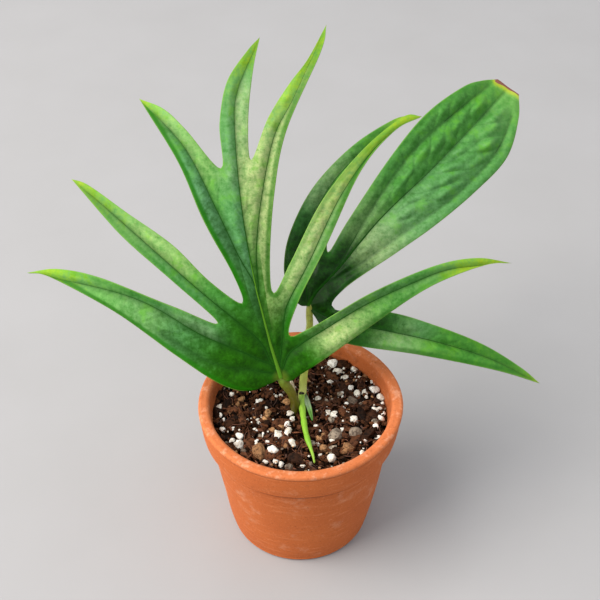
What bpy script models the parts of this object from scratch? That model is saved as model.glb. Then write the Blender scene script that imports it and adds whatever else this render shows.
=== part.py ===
"""A young anthurium with lobed leaves, planted in a small terracotta pot.

Metres, +Z up. The origin is the middle of the whole object's footprint, on the surface that the pot
stands on. The pot is turned, the soil is a turned plug with grains fused into its surface, and each
leaf is a thin blade worked out from its own outline, laid flat, and then arched and folded.
"""

import math
import random

import bmesh
import bpy
import numpy as np
from mathutils import Matrix, Vector

MM = 0.001

# The gap left between two pieces that touch.
FIT = 0.3 * MM

# The clay pot: a wide rim band over a tapered body, on a flat foot with a drain hole.
RIM_RADIUS = 40.0 * MM
RIM_HEIGHT = 65.2 * MM
RIM_ROUND = 2.0 * MM
BAND_BOTTOM_RADIUS = 38.4 * MM
BAND_BOTTOM_HEIGHT = 52.0 * MM
BAND_CHAMFER_WIDTH = 0.5 * MM
BAND_CHAMFER_HEIGHT = 0.8 * MM
BODY_TOP_RADIUS = 35.9 * MM
BODY_TOP_HEIGHT = 50.6 * MM
BODY_MIDDLE_RADIUS = 31.8 * MM
BODY_MIDDLE_HEIGHT = 22.0 * MM
FOOT_RADIUS = 28.4 * MM
FOOT_ROUND = 1.8 * MM
INSIDE_TOP_RADIUS = 35.6 * MM
FLOOR_RADIUS = 24.6 * MM
FLOOR_THICKNESS = 5.0 * MM
DRAIN_RADIUS = 5.0 * MM
POT_STEPS = 60

# The potting mix, a few millimetres below the rim.
SOIL_HEIGHT = 58.0 * MM
SOIL_EDGE_DROP = 1.2 * MM
SOIL_SHOULDER_WIDTH = 1.5 * MM
SOIL_SHOULDER_DROP = 0.4 * MM
SOIL_RINGS = (11.0 * MM, 20.0 * MM, 28.0 * MM)
SOIL_SWELL = 0.7 * MM
SOIL_SWELL_INNER, SOIL_SWELL_OUTER = 20.0 * MM, 28.0 * MM
SOIL_STEPS = 40
GRAIN_COUNT = 110
GRAIN_SMALL, GRAIN_LARGE = 1.0 * MM, 2.1 * MM
GRAIN_SPREAD = 31.5 * MM
GRAIN_SEED = 11

# The crown that the leaves grow from, set in a plain hole in the soil.
CROWN_CENTRE = (-0.8 * MM, 4.0 * MM)
CROWN_RADIUS = 5.2 * MM
CROWN_TOP = 57.0 * MM
CROWN_LENGTH = 18.0 * MM
CROWN_EDGE = 0.4 * MM
CROWN_TAPER_HEIGHT = 6.0 * MM
CROWN_STEPS = 20

# The leaf blades.
BLADE_THICKNESS = 0.7 * MM
BLADE_ROWS = 20
EDGE_WAVE = 0.9 * MM
WAVES_PER_LOBE = 1.6
LOBE_FOLD = 0.16

# The leaf stalks, from the crown to behind the foot of each blade, and the small growths at the crown.
STALK_FRONT_RADII = [1.3 * MM, 1.5 * MM, 1.25 * MM]
STALK_REAR_RADII = [1.3 * MM, 1.3 * MM, 1.1 * MM]
STALK_FOOT = CROWN_TOP + FIT
ROOT_RADIUS = 1.1 * MM
ROOT_TIP_RADIUS = 0.6 * MM
BUD_RADIUS = 1.0 * MM
SHEATH_WIDTH = 3.2 * MM
SHEATH_THICKNESS = 0.6 * MM
TUBE_SIDES_RESOLUTION = 3

PARTS = "potted_anthurium"
CUTTERS = "cutters"


class Gap:
    """The open notch between two lobes, in millimetres on the flat blade.

    down runs from the tip of one lobe to the notch, up from the notch to the tip of the next lobe.
    leave is the angle, in degrees, at which the seam between the two lobes leaves the blade's foot.
    """

    def __init__(self, down, notch, up, leave):
        self.down, self.notch, self.up, self.leave = down, notch, up, leave


class Leaf:
    """A lobed blade: its outline laid flat, and the place and bend it gets.

    foot is the point where the stalk meets the blade, tilt the slope of the blade above level.
    across and along are the arching radii, fold and reach the shallow V along the middle.
    first and last are the outer edges of the first and last lobe, from the foot to the tip.
    curls says how far each lobe's tip bends forward, in millimetres, and columns how finely it is cut.
    """

    def __init__(self, foot, tilt, across, along, fold, reach, first, gaps, last, curls, columns):
        self.foot = np.array(foot)
        self.tilt = math.radians(tilt)
        self.across, self.along, self.fold, self.reach = across, along, fold, reach
        self.first, self.gaps, self.last = first, gaps, last
        self.curls, self.columns = curls, columns
        self.up_slope = np.array([0.0, math.cos(self.tilt), math.sin(self.tilt)])
        self.normal = np.array([0.0, -math.sin(self.tilt), math.cos(self.tilt)])

    def place(self, flat, lift):
        """Points in space of points on the flat blade (mm), raised by lift (mm) off it."""
        s, t = flat[..., 0], flat[..., 1]
        arch = -(s**2 / (2 * self.across) + t**2 / (2 * self.along))
        crease = self.fold * np.sqrt(s**2 + 4.0) * np.exp(-((s / self.reach) ** 2))
        height = arch + crease + lift
        sideways = np.array([1.0, 0.0, 0.0])
        return (
            self.foot
            + s[..., None] * MM * sideways
            + t[..., None] * MM * self.up_slope
            + height[..., None] * MM * self.normal
        )

    def behind(self, t, depth):
        """A point on the underside of the middle of the blade, t mm up it and depth mm behind it."""
        return self.place(np.array([0.0, t]), np.array(-depth))


# The front leaf: seven long fingers, the middle one upright.
LEAF_FRONT = Leaf(
    foot=(-7.2 * MM, -3.2 * MM, 80.0 * MM),
    tilt=60.0,
    across=380.0,
    along=420.0,
    fold=0.16,
    reach=45.0,
    first=[(0, 0), (-4.5, -2.2), (-12, -4.5), (-21.5, -2), (-40.5, 10), (-64.5, 25.2), (-89.5, 36.3),
           (-99.5, 37.3)],
    gaps=[
        Gap([(-99.5, 37.3), (-86, 39.6), (-67.5, 37), (-40.5, 27.7)], (-23.6, 21.6),
            [(-40, 36.8), (-57.5, 51.8), (-66.5, 60.7), (-79, 74.4)], 155),
        Gap([(-79, 74.4), (-72.3, 72.2), (-57.6, 62.3), (-40, 50.6), (-26, 37)], (-14.4, 29),
            [(-18, 40.3), (-28.6, 60), (-38.6, 81.7), (-52.8, 104)], 126),
        Gap([(-52.8, 104), (-44, 102.3), (-35, 93.4)], (-22.2, 78.8),
            [(-22.7, 95), (-20, 110.3), (-12.6, 121.6), (-7.8, 126.8)], 113),
        Gap([(-7.8, 126.8), (-10.2, 115.2), (-12, 97)], (-11, 81.8),
            [(-4.8, 97), (3, 109.5), (10.1, 118.8), (17.2, 131.8)], 102),
        Gap([(17.2, 131.8), (15.1, 121.8), (2.3, 93), (-2.3, 70), (-4, 45)], (-2.6, 32.6),
            [(3.8, 44.4), (15, 66.5), (30, 85), (45.7, 97.5), (53.1, 97.7)], 92),
        Gap([(53.1, 97.7), (42.6, 92.5), (30, 78), (17, 50.5), (7, 30.5)], (3.1, 16.8),
            [(11.7, 20.1), (32.7, 32.4), (58, 42), (75, 44.3), (89, 41.6)], 50),
    ],
    last=[(0, 0), (3.4, -1.1), (9.2, 3), (30, 17.7), (51.5, 31.8), (65.5, 38), (80.8, 41.8), (89, 41.6)],
    curls=(-5, 3, -4, 2, -5, -2, -4),
    columns=(4, 4, 4, 4, 4, 4, 4),
)

# The rear leaf: one broad middle lobe with a blunt, dried tip, and a narrow lobe on each side.
LEAF_REAR = Leaf(
    foot=(3.2 * MM, 20.0 * MM, 96.0 * MM),
    tilt=50.0,
    across=280.0,
    along=340.0,
    fold=0.12,
    reach=60.0,
    first=[(0, 0), (-3.5, 0.6), (-7.5, 6), (-9.4, 15), (-7, 28.4), (1.8, 46), (17, 62.2), (33, 73),
           (41, 75.5)],
    gaps=[
        Gap([(41, 75.5), (30, 65.5), (17.5, 50), (9, 34)], (7.6, 20.8),
            [(15.3, 33), (31.3, 57), (46, 75.3), (62, 88.5), (77, 91.7)], 97),
        Gap([(85.9, 85.8), (84.8, 74.5), (78.9, 58.6), (65.3, 44.6), (49.4, 31.5), (34.2, 20.8), (14, 6.8)],
            (10.2, -1.2), [(31.2, -2.3), (50.4, -7.9), (69.3, -15.4), (85, -24.6), (93.9, -31.6)], 15),
    ],
    last=[(0, 0), (2.5, -4), (7, -10), (16, -14.6), (42.8, -18.8), (75, -25.7), (93.9, -31.6)],
    curls=(-4, -3, -5),
    columns=(4, 8, 4),
)


def clear_scene():
    """Remove every object that is in the file."""
    for item in list(bpy.data.objects):
        bpy.data.objects.remove(item, do_unlink=True)


def new_collection(name):
    """A collection of the given name, linked to the scene."""
    group = bpy.data.collections.new(name)
    bpy.context.scene.collection.children.link(group)
    return group


def finish_material(name, colour, roughness):
    """A Principled BSDF material with a linear colour and a roughness."""
    material = bpy.data.materials.new(name)
    material.use_nodes = True
    shader = material.node_tree.nodes["Principled BSDF"]
    shader.inputs["Base Color"].default_value = (*colour, 1.0)
    shader.inputs["Roughness"].default_value = roughness
    shader.inputs["Metallic"].default_value = 0.0
    return material


def add_object(name, data, material, group):
    """An object of the given data and material, in a collection."""
    item = bpy.data.objects.new(name, data)
    if material is not None:
        data.materials.append(material)
    group.objects.link(item)
    return item


def shade_smooth(mesh, angle):
    """Smooth shading, sharp where faces meet at more than angle degrees."""
    mesh.shade_smooth()
    mesh.set_sharp_from_angle(angle=math.radians(angle))


def turned(name, profile, steps, material, group):
    """A solid of revolution from a profile of (radius, height) that runs down its outer side.

    The profile starts and ends on the axis, or it is a closed ring clear of the axis.
    """
    mesh = bpy.data.meshes.new(name)
    edges = [(i, i + 1) for i in range(len(profile) - 1)]
    if profile[0][0] > 0.0:
        edges.append((len(profile) - 1, 0))
    mesh.from_pydata([(radius, 0.0, height) for radius, height in profile], edges, [])
    item = add_object(name, mesh, material, group)
    screw = item.modifiers.new("Screw", "SCREW")
    screw.steps = screw.render_steps = steps
    screw.use_merge_vertices = True
    screw.merge_threshold = 0.01 * MM
    screw.use_smooth_shade = True
    return item


def as_mesh(item):
    """The object with its modifiers applied."""
    graph = bpy.context.evaluated_depsgraph_get()
    mesh = bpy.data.meshes.new_from_object(item.evaluated_get(graph))
    item.modifiers.clear()
    item.data = mesh
    return item


def arc(centre, radius, start, end, count):
    """Points of an arc in the profile's plane, from start to end degrees."""
    angles = np.radians(np.linspace(start, end, count))
    return [(centre[0] + radius * math.cos(a), centre[1] + radius * math.sin(a)) for a in angles]


def smooth_curve(points, count):
    """Points at even spacing along a Catmull-Rom curve through the given ones."""
    knots = np.array(points, dtype=float)
    padded = np.vstack([2 * knots[0] - knots[1], knots, 2 * knots[-1] - knots[-2]])
    u = np.linspace(0, 1, 17)[:-1, None]
    pieces = []
    for p0, p1, p2, p3 in zip(padded, padded[1:], padded[2:], padded[3:]):
        pieces.append(0.5 * (2 * p1 + (p2 - p0) * u + (2 * p0 - 5 * p1 + 4 * p2 - p3) * u**2
                             + (3 * p1 - p0 - 3 * p2 + p3) * u**3))
    fine = np.vstack(pieces + [knots[-1:]])
    run = np.concatenate([[0], np.cumsum(np.linalg.norm(np.diff(fine, axis=0), axis=1))])
    even = np.linspace(0, run[-1], count)
    return np.stack([np.interp(even, run, fine[:, axis]) for axis in range(fine.shape[1])], axis=1)


def curve_length(points):
    """Length of the smooth curve through the points."""
    fine = smooth_curve(points, 60)
    return np.linalg.norm(np.diff(fine, axis=0), axis=1).sum()


def ease(x):
    """A smooth step from 0 to 1."""
    x = np.clip(x, 0, 1)
    return x * x * (3 - 2 * x)


def inside_radius(height):
    """Radius of the pot's inside at a height."""
    share = (height - FLOOR_THICKNESS) / (RIM_HEIGHT - FLOOR_THICKNESS)
    return FLOOR_RADIUS + (INSIDE_TOP_RADIUS - FLOOR_RADIUS) * share


def build_pot(material, group):
    """The clay pot, one turned shell open at the rim and at the drain hole."""
    lip = RIM_ROUND
    profile = []
    profile += arc((INSIDE_TOP_RADIUS + lip, RIM_HEIGHT - lip), lip, 160, 90, 4)
    profile += arc((RIM_RADIUS - lip, RIM_HEIGHT - lip), lip, 80, 0, 4)
    profile += [(BAND_BOTTOM_RADIUS, BAND_BOTTOM_HEIGHT + BAND_CHAMFER_HEIGHT)]
    profile += [(BAND_BOTTOM_RADIUS - BAND_CHAMFER_WIDTH, BAND_BOTTOM_HEIGHT)]
    profile += [(BODY_TOP_RADIUS, BODY_TOP_HEIGHT)]
    profile += [(BODY_MIDDLE_RADIUS, BODY_MIDDLE_HEIGHT)]
    profile += arc((FOOT_RADIUS - FOOT_ROUND, FOOT_ROUND), FOOT_ROUND, 0, -90, 4)
    profile += [(DRAIN_RADIUS, 0.0)]
    profile += [(DRAIN_RADIUS, FLOOR_THICKNESS)]
    profile += [(FLOOR_RADIUS, FLOOR_THICKNESS)]
    return turned("pot", profile, POT_STEPS, material, group)


def soil_top(x, y):
    """Height of the soil's surface at a place: a low swell that dies out towards the wall."""
    reach = math.hypot(x, y)
    swell = SOIL_SWELL * math.sin(x / (7.0 * MM) + 0.6) * math.cos(y / (9.0 * MM) - 0.4)
    faded = ease((reach - SOIL_SWELL_INNER) / (SOIL_SWELL_OUTER - SOIL_SWELL_INNER))
    return SOIL_HEIGHT + swell * (1 - faded)


def rough_grain(radius, rng):
    """A rough lump of soil or stone with few faces, flattened a little and turned."""
    form = bmesh.new()
    bmesh.ops.create_icosphere(form, subdivisions=1, radius=radius)
    for vert in form.verts:
        vert.co *= rng.uniform(0.8, 1.15)
    stretch = Matrix.Diagonal((rng.uniform(0.8, 1.3), rng.uniform(0.8, 1.1), rng.uniform(0.7, 1.0), 1.0))
    turn = Matrix.Rotation(rng.uniform(0, math.tau), 4, "Z")
    lean = Matrix.Rotation(rng.uniform(-0.4, 0.4), 4, "X")
    bmesh.ops.transform(form, matrix=turn @ lean @ stretch, verts=form.verts)
    return form


def scatter_grains(clear_path, group):
    """Grains sunk into the soil's surface, clear of the plant and of each other."""
    rng = random.Random(GRAIN_SEED)
    placed = []
    tries = 0
    while len(placed) < GRAIN_COUNT and tries < 20000:
        tries += 1
        reach = GRAIN_SPREAD * math.sqrt(rng.random())
        turn = rng.uniform(0, math.tau)
        x, y = reach * math.cos(turn), reach * math.sin(turn)
        radius = rng.uniform(GRAIN_SMALL, GRAIN_LARGE)
        if reach + 1.35 * radius > inside_radius(SOIL_HEIGHT) - 2 * FIT:
            continue
        if min(math.hypot(x - px, y - py) - pr for px, py, pr in clear_path) < 1.4 * radius + FIT:
            continue
        if any(math.hypot(x - px, y - py) < 1.25 * (radius + pr) for px, py, pr in placed):
            continue
        placed.append((x, y, radius))
        form = rough_grain(radius, rng)
        mesh = bpy.data.meshes.new("grain")
        form.to_mesh(mesh)
        form.free()
        grain = add_object("grain", mesh, None, group)
        grain.location = (x, y, soil_top(x, y) + rng.uniform(-0.1, 0.25) * radius)


def cutter(name, x, y, radius, bottom, top, group):
    """An upright round cutter."""
    form = bmesh.new()
    depth = top - bottom
    bmesh.ops.create_cone(form, cap_ends=True, segments=20, radius1=radius, radius2=radius, depth=depth)
    mesh = bpy.data.meshes.new(name)
    form.to_mesh(mesh)
    form.free()
    item = add_object(name, mesh, None, group)
    item.location = (x, y, (top + bottom) / 2)
    item.hide_render = True
    item.display_type = "WIRE"
    return item


def apply_boolean(item, operation, tools):
    """Join a collection of solids to the object, or cut them from it, and remove them."""
    step = item.modifiers.new(operation.title(), "BOOLEAN")
    step.operation = operation
    step.operand_type = "COLLECTION"
    step.collection = tools
    step.solver = "EXACT"
    as_mesh(item)
    for tool in list(tools.objects):
        bpy.data.objects.remove(tool, do_unlink=True)


def build_soil(root_path, material, group, cutters):
    """The plug of potting mix, swelling a little, with grains in its surface and holes for the plant."""
    edge = inside_radius(SOIL_HEIGHT) - FIT
    floor = FLOOR_THICKNESS + FIT
    profile = [(0.0, SOIL_HEIGHT)] + [(radius, SOIL_HEIGHT) for radius in SOIL_RINGS]
    profile += [(edge - SOIL_SHOULDER_WIDTH, SOIL_HEIGHT - SOIL_SHOULDER_DROP)]
    profile += [(edge - FIT, SOIL_HEIGHT - SOIL_EDGE_DROP)]
    profile += [(inside_radius(floor) - FIT, floor), (0.0, floor)]
    soil = as_mesh(turned("soil", profile, SOIL_STEPS, material, group))
    for vert in soil.data.vertices:
        if vert.co.z > SOIL_HEIGHT - 0.1 * MM:
            vert.co.z = soil_top(vert.co.x, vert.co.y)
    crown_x, crown_y = CROWN_CENTRE
    clear_path = [(crown_x, crown_y, CROWN_RADIUS + FIT)]
    clear_path += [(x, y, ROOT_RADIUS + FIT) for x, y, _ in root_path]
    clear_path += [(x, y, SHEATH_WIDTH / 2) for x, y, _ in SHEATH_ROUTE]
    scatter_grains(clear_path, cutters)
    apply_boolean(soil, "UNION", cutters)
    top = SOIL_HEIGHT + 5 * MM
    cutter("crown_hole", crown_x, crown_y, CROWN_RADIUS + FIT, CROWN_TOP - CROWN_LENGTH - FIT, top, cutters)
    end_x, end_y, end_z = root_path[-1]
    cutter("root_hole", end_x, end_y, 2.2 * ROOT_TIP_RADIUS, end_z - FIT, top, cutters)
    apply_boolean(soil, "DIFFERENCE", cutters)
    shade_smooth(soil.data, 40)
    return soil


def build_crown(material, group):
    """The short, stout stem below the soil's surface, rounded off at its foot."""
    bottom = CROWN_TOP - CROWN_LENGTH
    profile = [(0.0, CROWN_TOP), (CROWN_RADIUS - CROWN_EDGE, CROWN_TOP)]
    profile += [(CROWN_RADIUS, CROWN_TOP - CROWN_EDGE), (CROWN_RADIUS, bottom + CROWN_TAPER_HEIGHT)]
    profile += [(0.7 * CROWN_RADIUS, bottom + CROWN_TAPER_HEIGHT / 3)]
    profile += [(0.35 * CROWN_RADIUS, bottom), (0.0, bottom)]
    crown = turned("crown", profile, CROWN_STEPS, material, group)
    crown.location = (*CROWN_CENTRE, 0.0)
    return crown


def build_tube(name, route, radii, material, group, count=14):
    """A round stalk along a smooth route, with a radius that follows the route."""
    path = smooth_curve(route, count)
    widths = np.interp(np.linspace(0, 1, count), np.linspace(0, 1, len(radii)), radii)
    curve = bpy.data.curves.new(name, "CURVE")
    curve.dimensions = "3D"
    curve.bevel_depth = 1.0
    curve.bevel_resolution = TUBE_SIDES_RESOLUTION
    curve.use_fill_caps = True
    spline = curve.splines.new("POLY")
    spline.points.add(count - 1)
    for point, place, width in zip(spline.points, path, widths):
        point.co = (*place, 1.0)
        point.radius = width
    return add_object(name, curve, material, group)


def seam(notch, leave, count):
    """Points from the blade's foot to a notch, leaving at one angle and turning to the notch's own."""
    reach = math.hypot(*notch)
    end = math.atan2(notch[1], notch[0])
    share = np.linspace(0, 1, count)
    angle = end + (math.radians(leave) - end) * (1 - share)
    return np.stack([reach * share * np.cos(angle), reach * share * np.sin(angle)], axis=1)


def gap_edges(gap, rows):
    """The edges of the two lobes beside a gap, from the foot to each tip, and the row of the notch."""
    down = [*gap.down, gap.notch]
    up = [gap.notch, *gap.up]
    seam_length = math.hypot(*gap.notch)
    edge_length = (curve_length(down) + curve_length(up)) / 2
    notch_row = round(rows * seam_length / (seam_length + edge_length))
    count = rows - notch_row + 1
    inner = seam(gap.notch, gap.leave, notch_row + 1)
    whole = smooth_curve([*gap.down, gap.notch, *gap.up], 400)
    split = int(np.argmin(np.linalg.norm(whole - np.array(gap.notch), axis=1)))
    before = smooth_curve(whole[: split + 1][::-1], count)
    after = smooth_curve(whole[split:], count)
    before[0] = after[0] = gap.notch
    return np.vstack([inner, before[1:]]), np.vstack([inner, after[1:]]), notch_row


def grid_faces(rows, columns, offset):
    """Four-sided faces of a grid whose points start at an offset in the list."""
    stride = columns + 1
    corners = [offset + i * stride + j for i in range(rows) for j in range(columns)]
    return [(a, a + 1, a + stride + 1, a + stride) for a in corners]


def thin_solid(name, verts, faces, thickness, material, group):
    """A sheet of triangles, joined where its points meet, with a thickness about its middle."""
    mesh = bpy.data.meshes.new(name)
    mesh.from_pydata(verts, [], faces)
    form = bmesh.new()
    form.from_mesh(mesh)
    bmesh.ops.remove_doubles(form, verts=form.verts, dist=0.01 * MM)
    bmesh.ops.triangulate(form, faces=form.faces)
    form.to_mesh(mesh)
    form.free()
    shade_smooth(mesh, 60)
    item = add_object(name, mesh, material, group)
    wall = item.modifiers.new("Solidify", "SOLIDIFY")
    wall.thickness = thickness
    wall.offset = 0.0
    return item


def build_blade(name, leaf, material, group):
    """A lobed leaf: one grid of faces for each lobe, joined along the seams, then given its thickness."""
    rows = BLADE_ROWS
    left = [(smooth_curve(leaf.first, rows + 1), 0)]
    right = []
    for gap in leaf.gaps:
        before, after, notch_row = gap_edges(gap, rows)
        right.append((before, notch_row))
        left.append((after, notch_row))
    right.append((smooth_curve(leaf.last, rows + 1), 0))
    verts, faces = [], []
    along = np.linspace(0, 1, rows + 1)[:, None]
    lobes = zip(left, right, leaf.curls, leaf.columns)
    for number, ((edge_a, row_a), (edge_b, row_b), curl, columns) in enumerate(lobes):
        across = np.linspace(-1, 1, columns + 1)[None, :]
        share = (across + 1) / 2
        flat = edge_a[:, None, :] * (1 - share[..., None]) + edge_b[:, None, :] * share[..., None]
        start = np.where(across < 0, row_a, row_b) / rows
        free = ease((along - start) / 0.25)
        half_width = np.linalg.norm(edge_a - edge_b, axis=1)[:, None] / 2
        rise = LOBE_FOLD * half_width * np.abs(across) ** 1.5 * free
        ripple = np.sin(math.tau * (WAVES_PER_LOBE * along + 0.31 * number + 0.2 * across))
        wave = EDGE_WAVE / MM * ripple * across**2 * free * (1 - along**3)
        beyond = np.clip((along * rows - max(row_a, row_b)) / (rows - max(row_a, row_b)), 0, 1)
        places = leaf.place(flat, rise + wave + curl * beyond**2)
        faces += grid_faces(rows, columns, len(verts))
        verts += [tuple(p) for p in places.reshape(-1, 3)]
    return thin_solid(name, verts, faces, BLADE_THICKNESS, material, group)


def build_sheath(material, group):
    """The papery sheath of an old leaf: a narrow, cupped strip along its route."""
    count, columns = 10, 4
    path = smooth_curve(SHEATH_ROUTE, count)
    ahead = np.gradient(path, axis=0)
    side = np.cross(ahead, (0.0, 0.0, 1.0))
    side /= np.linalg.norm(side, axis=1)[:, None]
    up = np.cross(side, ahead)
    up /= np.linalg.norm(up, axis=1)[:, None]
    along = np.linspace(0, 1, count)
    half = SHEATH_WIDTH / 2 * np.sin(math.pi * (0.18 + 0.74 * along))
    across = np.linspace(-1, 1, columns + 1)
    places = (
        path[:, None, :]
        + side[:, None, :] * half[:, None, None] * across[None, :, None]
        + up[:, None, :] * 0.5 * half[:, None, None] * (across**2)[None, :, None]
    )
    verts = [tuple(p) for p in places.reshape(-1, 3)]
    faces = grid_faces(count - 1, columns, 0)
    return thin_solid("sheath", verts, faces, SHEATH_THICKNESS, material, group)


# Routes of the stalks and growths, from the crown outwards.
FRONT_STALK_ROUTE = [
    (-1.9 * MM, 0.8 * MM, STALK_FOOT),
    (-1.9 * MM, 0.5 * MM, 61.0 * MM),
    (-2.4 * MM, 0.0 * MM, 66.0 * MM),
    (-4.0 * MM, -1.2 * MM, 71.5 * MM),
    (-6.3 * MM, -1.8 * MM, 76.5 * MM),
    tuple(LEAF_FRONT.behind(2.0, (BLADE_THICKNESS / 2 + FIT + STALK_FRONT_RADII[-1]) / MM)),
]
REAR_STALK_ROUTE = [
    (0.1 * MM, 7.2 * MM, STALK_FOOT),
    (0.1 * MM, 7.2 * MM, 62.0 * MM),
    (0.8 * MM, 9.3 * MM, 70.5 * MM),
    (2.6 * MM, 12.3 * MM, 80.0 * MM),
    (3.7 * MM, 16.4 * MM, 89.0 * MM),
    tuple(LEAF_REAR.behind(2.0, (BLADE_THICKNESS / 2 + FIT + STALK_REAR_RADII[-1]) / MM)),
]
ROOT_ROUTE = [
    (0.8 * MM, 5.4 * MM, 61.3 * MM),
    (1.0 * MM, 2.5 * MM, 61.2 * MM),
    (1.3 * MM, -3.0 * MM, 60.4 * MM),
    (2.2 * MM, -10.0 * MM, 60.2 * MM),
    (3.8 * MM, -17.5 * MM, 60.2 * MM),
    (5.2 * MM, -23.5 * MM, 59.8 * MM),
    (5.8 * MM, -27.3 * MM, 58.6 * MM),
    (5.9 * MM, -28.3 * MM, 56.4 * MM),
]
SHEATH_ROUTE = [
    (2.7 * MM, 6.4 * MM, 61.4 * MM),
    (3.9 * MM, 3.5 * MM, 61.9 * MM),
    (5.0 * MM, -0.5 * MM, 60.9 * MM),
    (6.0 * MM, -5.2 * MM, 59.7 * MM),
]
BUD_ROUTE = [
    (-2.8 * MM, 6.7 * MM, STALK_FOOT),
    (-2.7 * MM, 6.7 * MM, 62.0 * MM),
    (-3.0 * MM, 6.5 * MM, 66.0 * MM),
    (-3.5 * MM, 6.3 * MM, 69.0 * MM),
]


def main():
    """Build every piece, then set the origin under the middle of the whole object."""
    clear_scene()
    parts = new_collection(PARTS)
    cutters = new_collection(CUTTERS)
    clay = finish_material("terracotta", (0.56, 0.20, 0.08), 0.85)
    mix = finish_material("potting_mix", (0.05, 0.03, 0.02), 0.95)
    stalk = finish_material("leaf_stalk", (0.20, 0.33, 0.08), 0.5)
    root = finish_material("green_root", (0.30, 0.60, 0.06), 0.45)
    dry = finish_material("dry_sheath", (0.34, 0.40, 0.24), 0.7)
    bark = finish_material("crown_bark", (0.10, 0.08, 0.04), 0.85)
    leaf = finish_material("leaf_blade", (0.05, 0.25, 0.04), 0.4)

    root_path = smooth_curve(ROOT_ROUTE, 16)
    build_pot(clay, parts)
    build_soil(root_path, mix, parts, cutters)
    build_crown(bark, parts)
    build_tube("petiole_front", FRONT_STALK_ROUTE, STALK_FRONT_RADII, stalk, parts)
    build_tube("petiole_rear", REAR_STALK_ROUTE, STALK_REAR_RADII, stalk, parts)
    build_tube("aerial_root", ROOT_ROUTE, [ROOT_RADIUS, ROOT_RADIUS, ROOT_TIP_RADIUS], root, parts, 16)
    build_tube("bud", BUD_ROUTE, [BUD_RADIUS, BUD_RADIUS, 0.5 * BUD_RADIUS], stalk, parts, 8)
    build_sheath(dry, parts)
    build_blade("leaf_front", LEAF_FRONT, leaf, parts)
    build_blade("leaf_rear", LEAF_REAR, leaf, parts)

    bpy.context.view_layer.update()
    graph = bpy.context.evaluated_depsgraph_get()
    corners = []
    for item in parts.objects:
        mesh = item.evaluated_get(graph).to_mesh()
        corners += [item.matrix_world @ vert.co for vert in mesh.vertices]
        item.evaluated_get(graph).to_mesh_clear()
    lows = [min(c[axis] for c in corners) for axis in range(3)]
    highs = [max(c[axis] for c in corners) for axis in range(3)]
    middle = Vector(((lows[0] + highs[0]) / 2, (lows[1] + highs[1]) / 2, 0.0))
    for item in parts.objects:
        item.location -= middle


main()
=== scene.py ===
"""The looks of a young anthurium with lobed leaves, planted in a small terracotta pot.

Sizes in the classes are millimetres, measured from the pot's axis and from the floor. The last step
of every mesh turns them to metres and sets them round the pot's axis in the shared frame.
"""

import logging
import math
from dataclasses import dataclass, field
from enum import Enum

import bmesh
import bpy
import numpy as np
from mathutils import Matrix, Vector


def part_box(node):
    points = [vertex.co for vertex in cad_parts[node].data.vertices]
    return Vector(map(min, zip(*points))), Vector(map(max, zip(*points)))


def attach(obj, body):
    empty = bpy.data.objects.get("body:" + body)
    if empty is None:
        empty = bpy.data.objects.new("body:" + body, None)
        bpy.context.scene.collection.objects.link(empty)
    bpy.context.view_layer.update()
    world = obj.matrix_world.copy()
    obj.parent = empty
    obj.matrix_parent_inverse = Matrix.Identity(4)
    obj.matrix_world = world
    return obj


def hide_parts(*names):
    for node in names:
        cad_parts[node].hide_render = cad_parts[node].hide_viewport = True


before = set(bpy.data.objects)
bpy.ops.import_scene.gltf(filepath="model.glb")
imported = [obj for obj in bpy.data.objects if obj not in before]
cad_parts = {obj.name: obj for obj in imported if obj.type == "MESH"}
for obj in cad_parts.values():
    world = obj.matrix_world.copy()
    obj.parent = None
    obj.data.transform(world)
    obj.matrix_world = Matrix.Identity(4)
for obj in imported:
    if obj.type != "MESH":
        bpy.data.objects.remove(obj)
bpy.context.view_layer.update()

Array = np.ndarray
Pair = tuple[float, float]
Triple = tuple[float, float, float]
Stop = tuple[float, str]
Socket = bpy.types.NodeSocket
Tree = bpy.types.NodeTree

MM = 0.001
BODY = "root"
LOG = logging.getLogger("potted_plant")


class Mark(Enum):
    """The names of the values that a mesh carries for its material."""

    FLAT = "flat_place"
    VEIN = "vein_place"
    PAINT = "paint"
    SPOT = "spot"
    SHARE = "share_along"
    TINT = "own_tint"


class Slot(Enum):
    """The record's material slots."""

    CLAY = "terracotta"
    MIX = "potting_mix"
    BARK = "crown_bark"
    STALK = "leaf_stalk"
    ROOT = "green_root"
    SHEATH = "dry_sheath"
    BLADE = "leaf_blade"


# Numbers and lines


def pot_axis() -> Array:
    """The foot of the pot's axis in the shared frame, in metres."""
    low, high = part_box("pot")
    return np.array([(low.x + high.x) / 2, (low.y + high.y) / 2, 0.0])


def ease(x: Array | float, low: float = 0.0, high: float = 1.0) -> Array | float:
    """A smooth step from 0 at low to 1 at high: u squared times (3 - 2u), u the share of the way."""
    u = np.clip((x - low) / (high - low), 0, 1)
    return u * u * (3 - 2 * u)


def run_along(points: Array) -> Array:
    """The length along a line of points, at each of its points."""
    return np.concatenate([[0], np.cumsum(np.linalg.norm(np.diff(points, axis=0), axis=1))])


def curve_through(points: list | Array, steps: int) -> Array:
    """The Catmull-Rom curve through the points, each span in so many steps."""
    knots = np.array(points, dtype=float)
    padded = np.vstack([2 * knots[0] - knots[1], knots, 2 * knots[-1] - knots[-2]])
    u = np.linspace(0, 1, steps + 1)[:-1, None, None]
    p0, p1, p2, p3 = (padded[k : len(padded) - 3 + k] for k in range(4))
    spans = 0.5 * (
        2 * p1 + (p2 - p0) * u + (2 * p0 - 5 * p1 + 4 * p2 - p3) * u**2 + (3 * p1 - p0 - 3 * p2 + p3) * u**3
    )
    return np.vstack([spans.swapaxes(0, 1).reshape(-1, knots.shape[1]), knots[-1:]])


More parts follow.
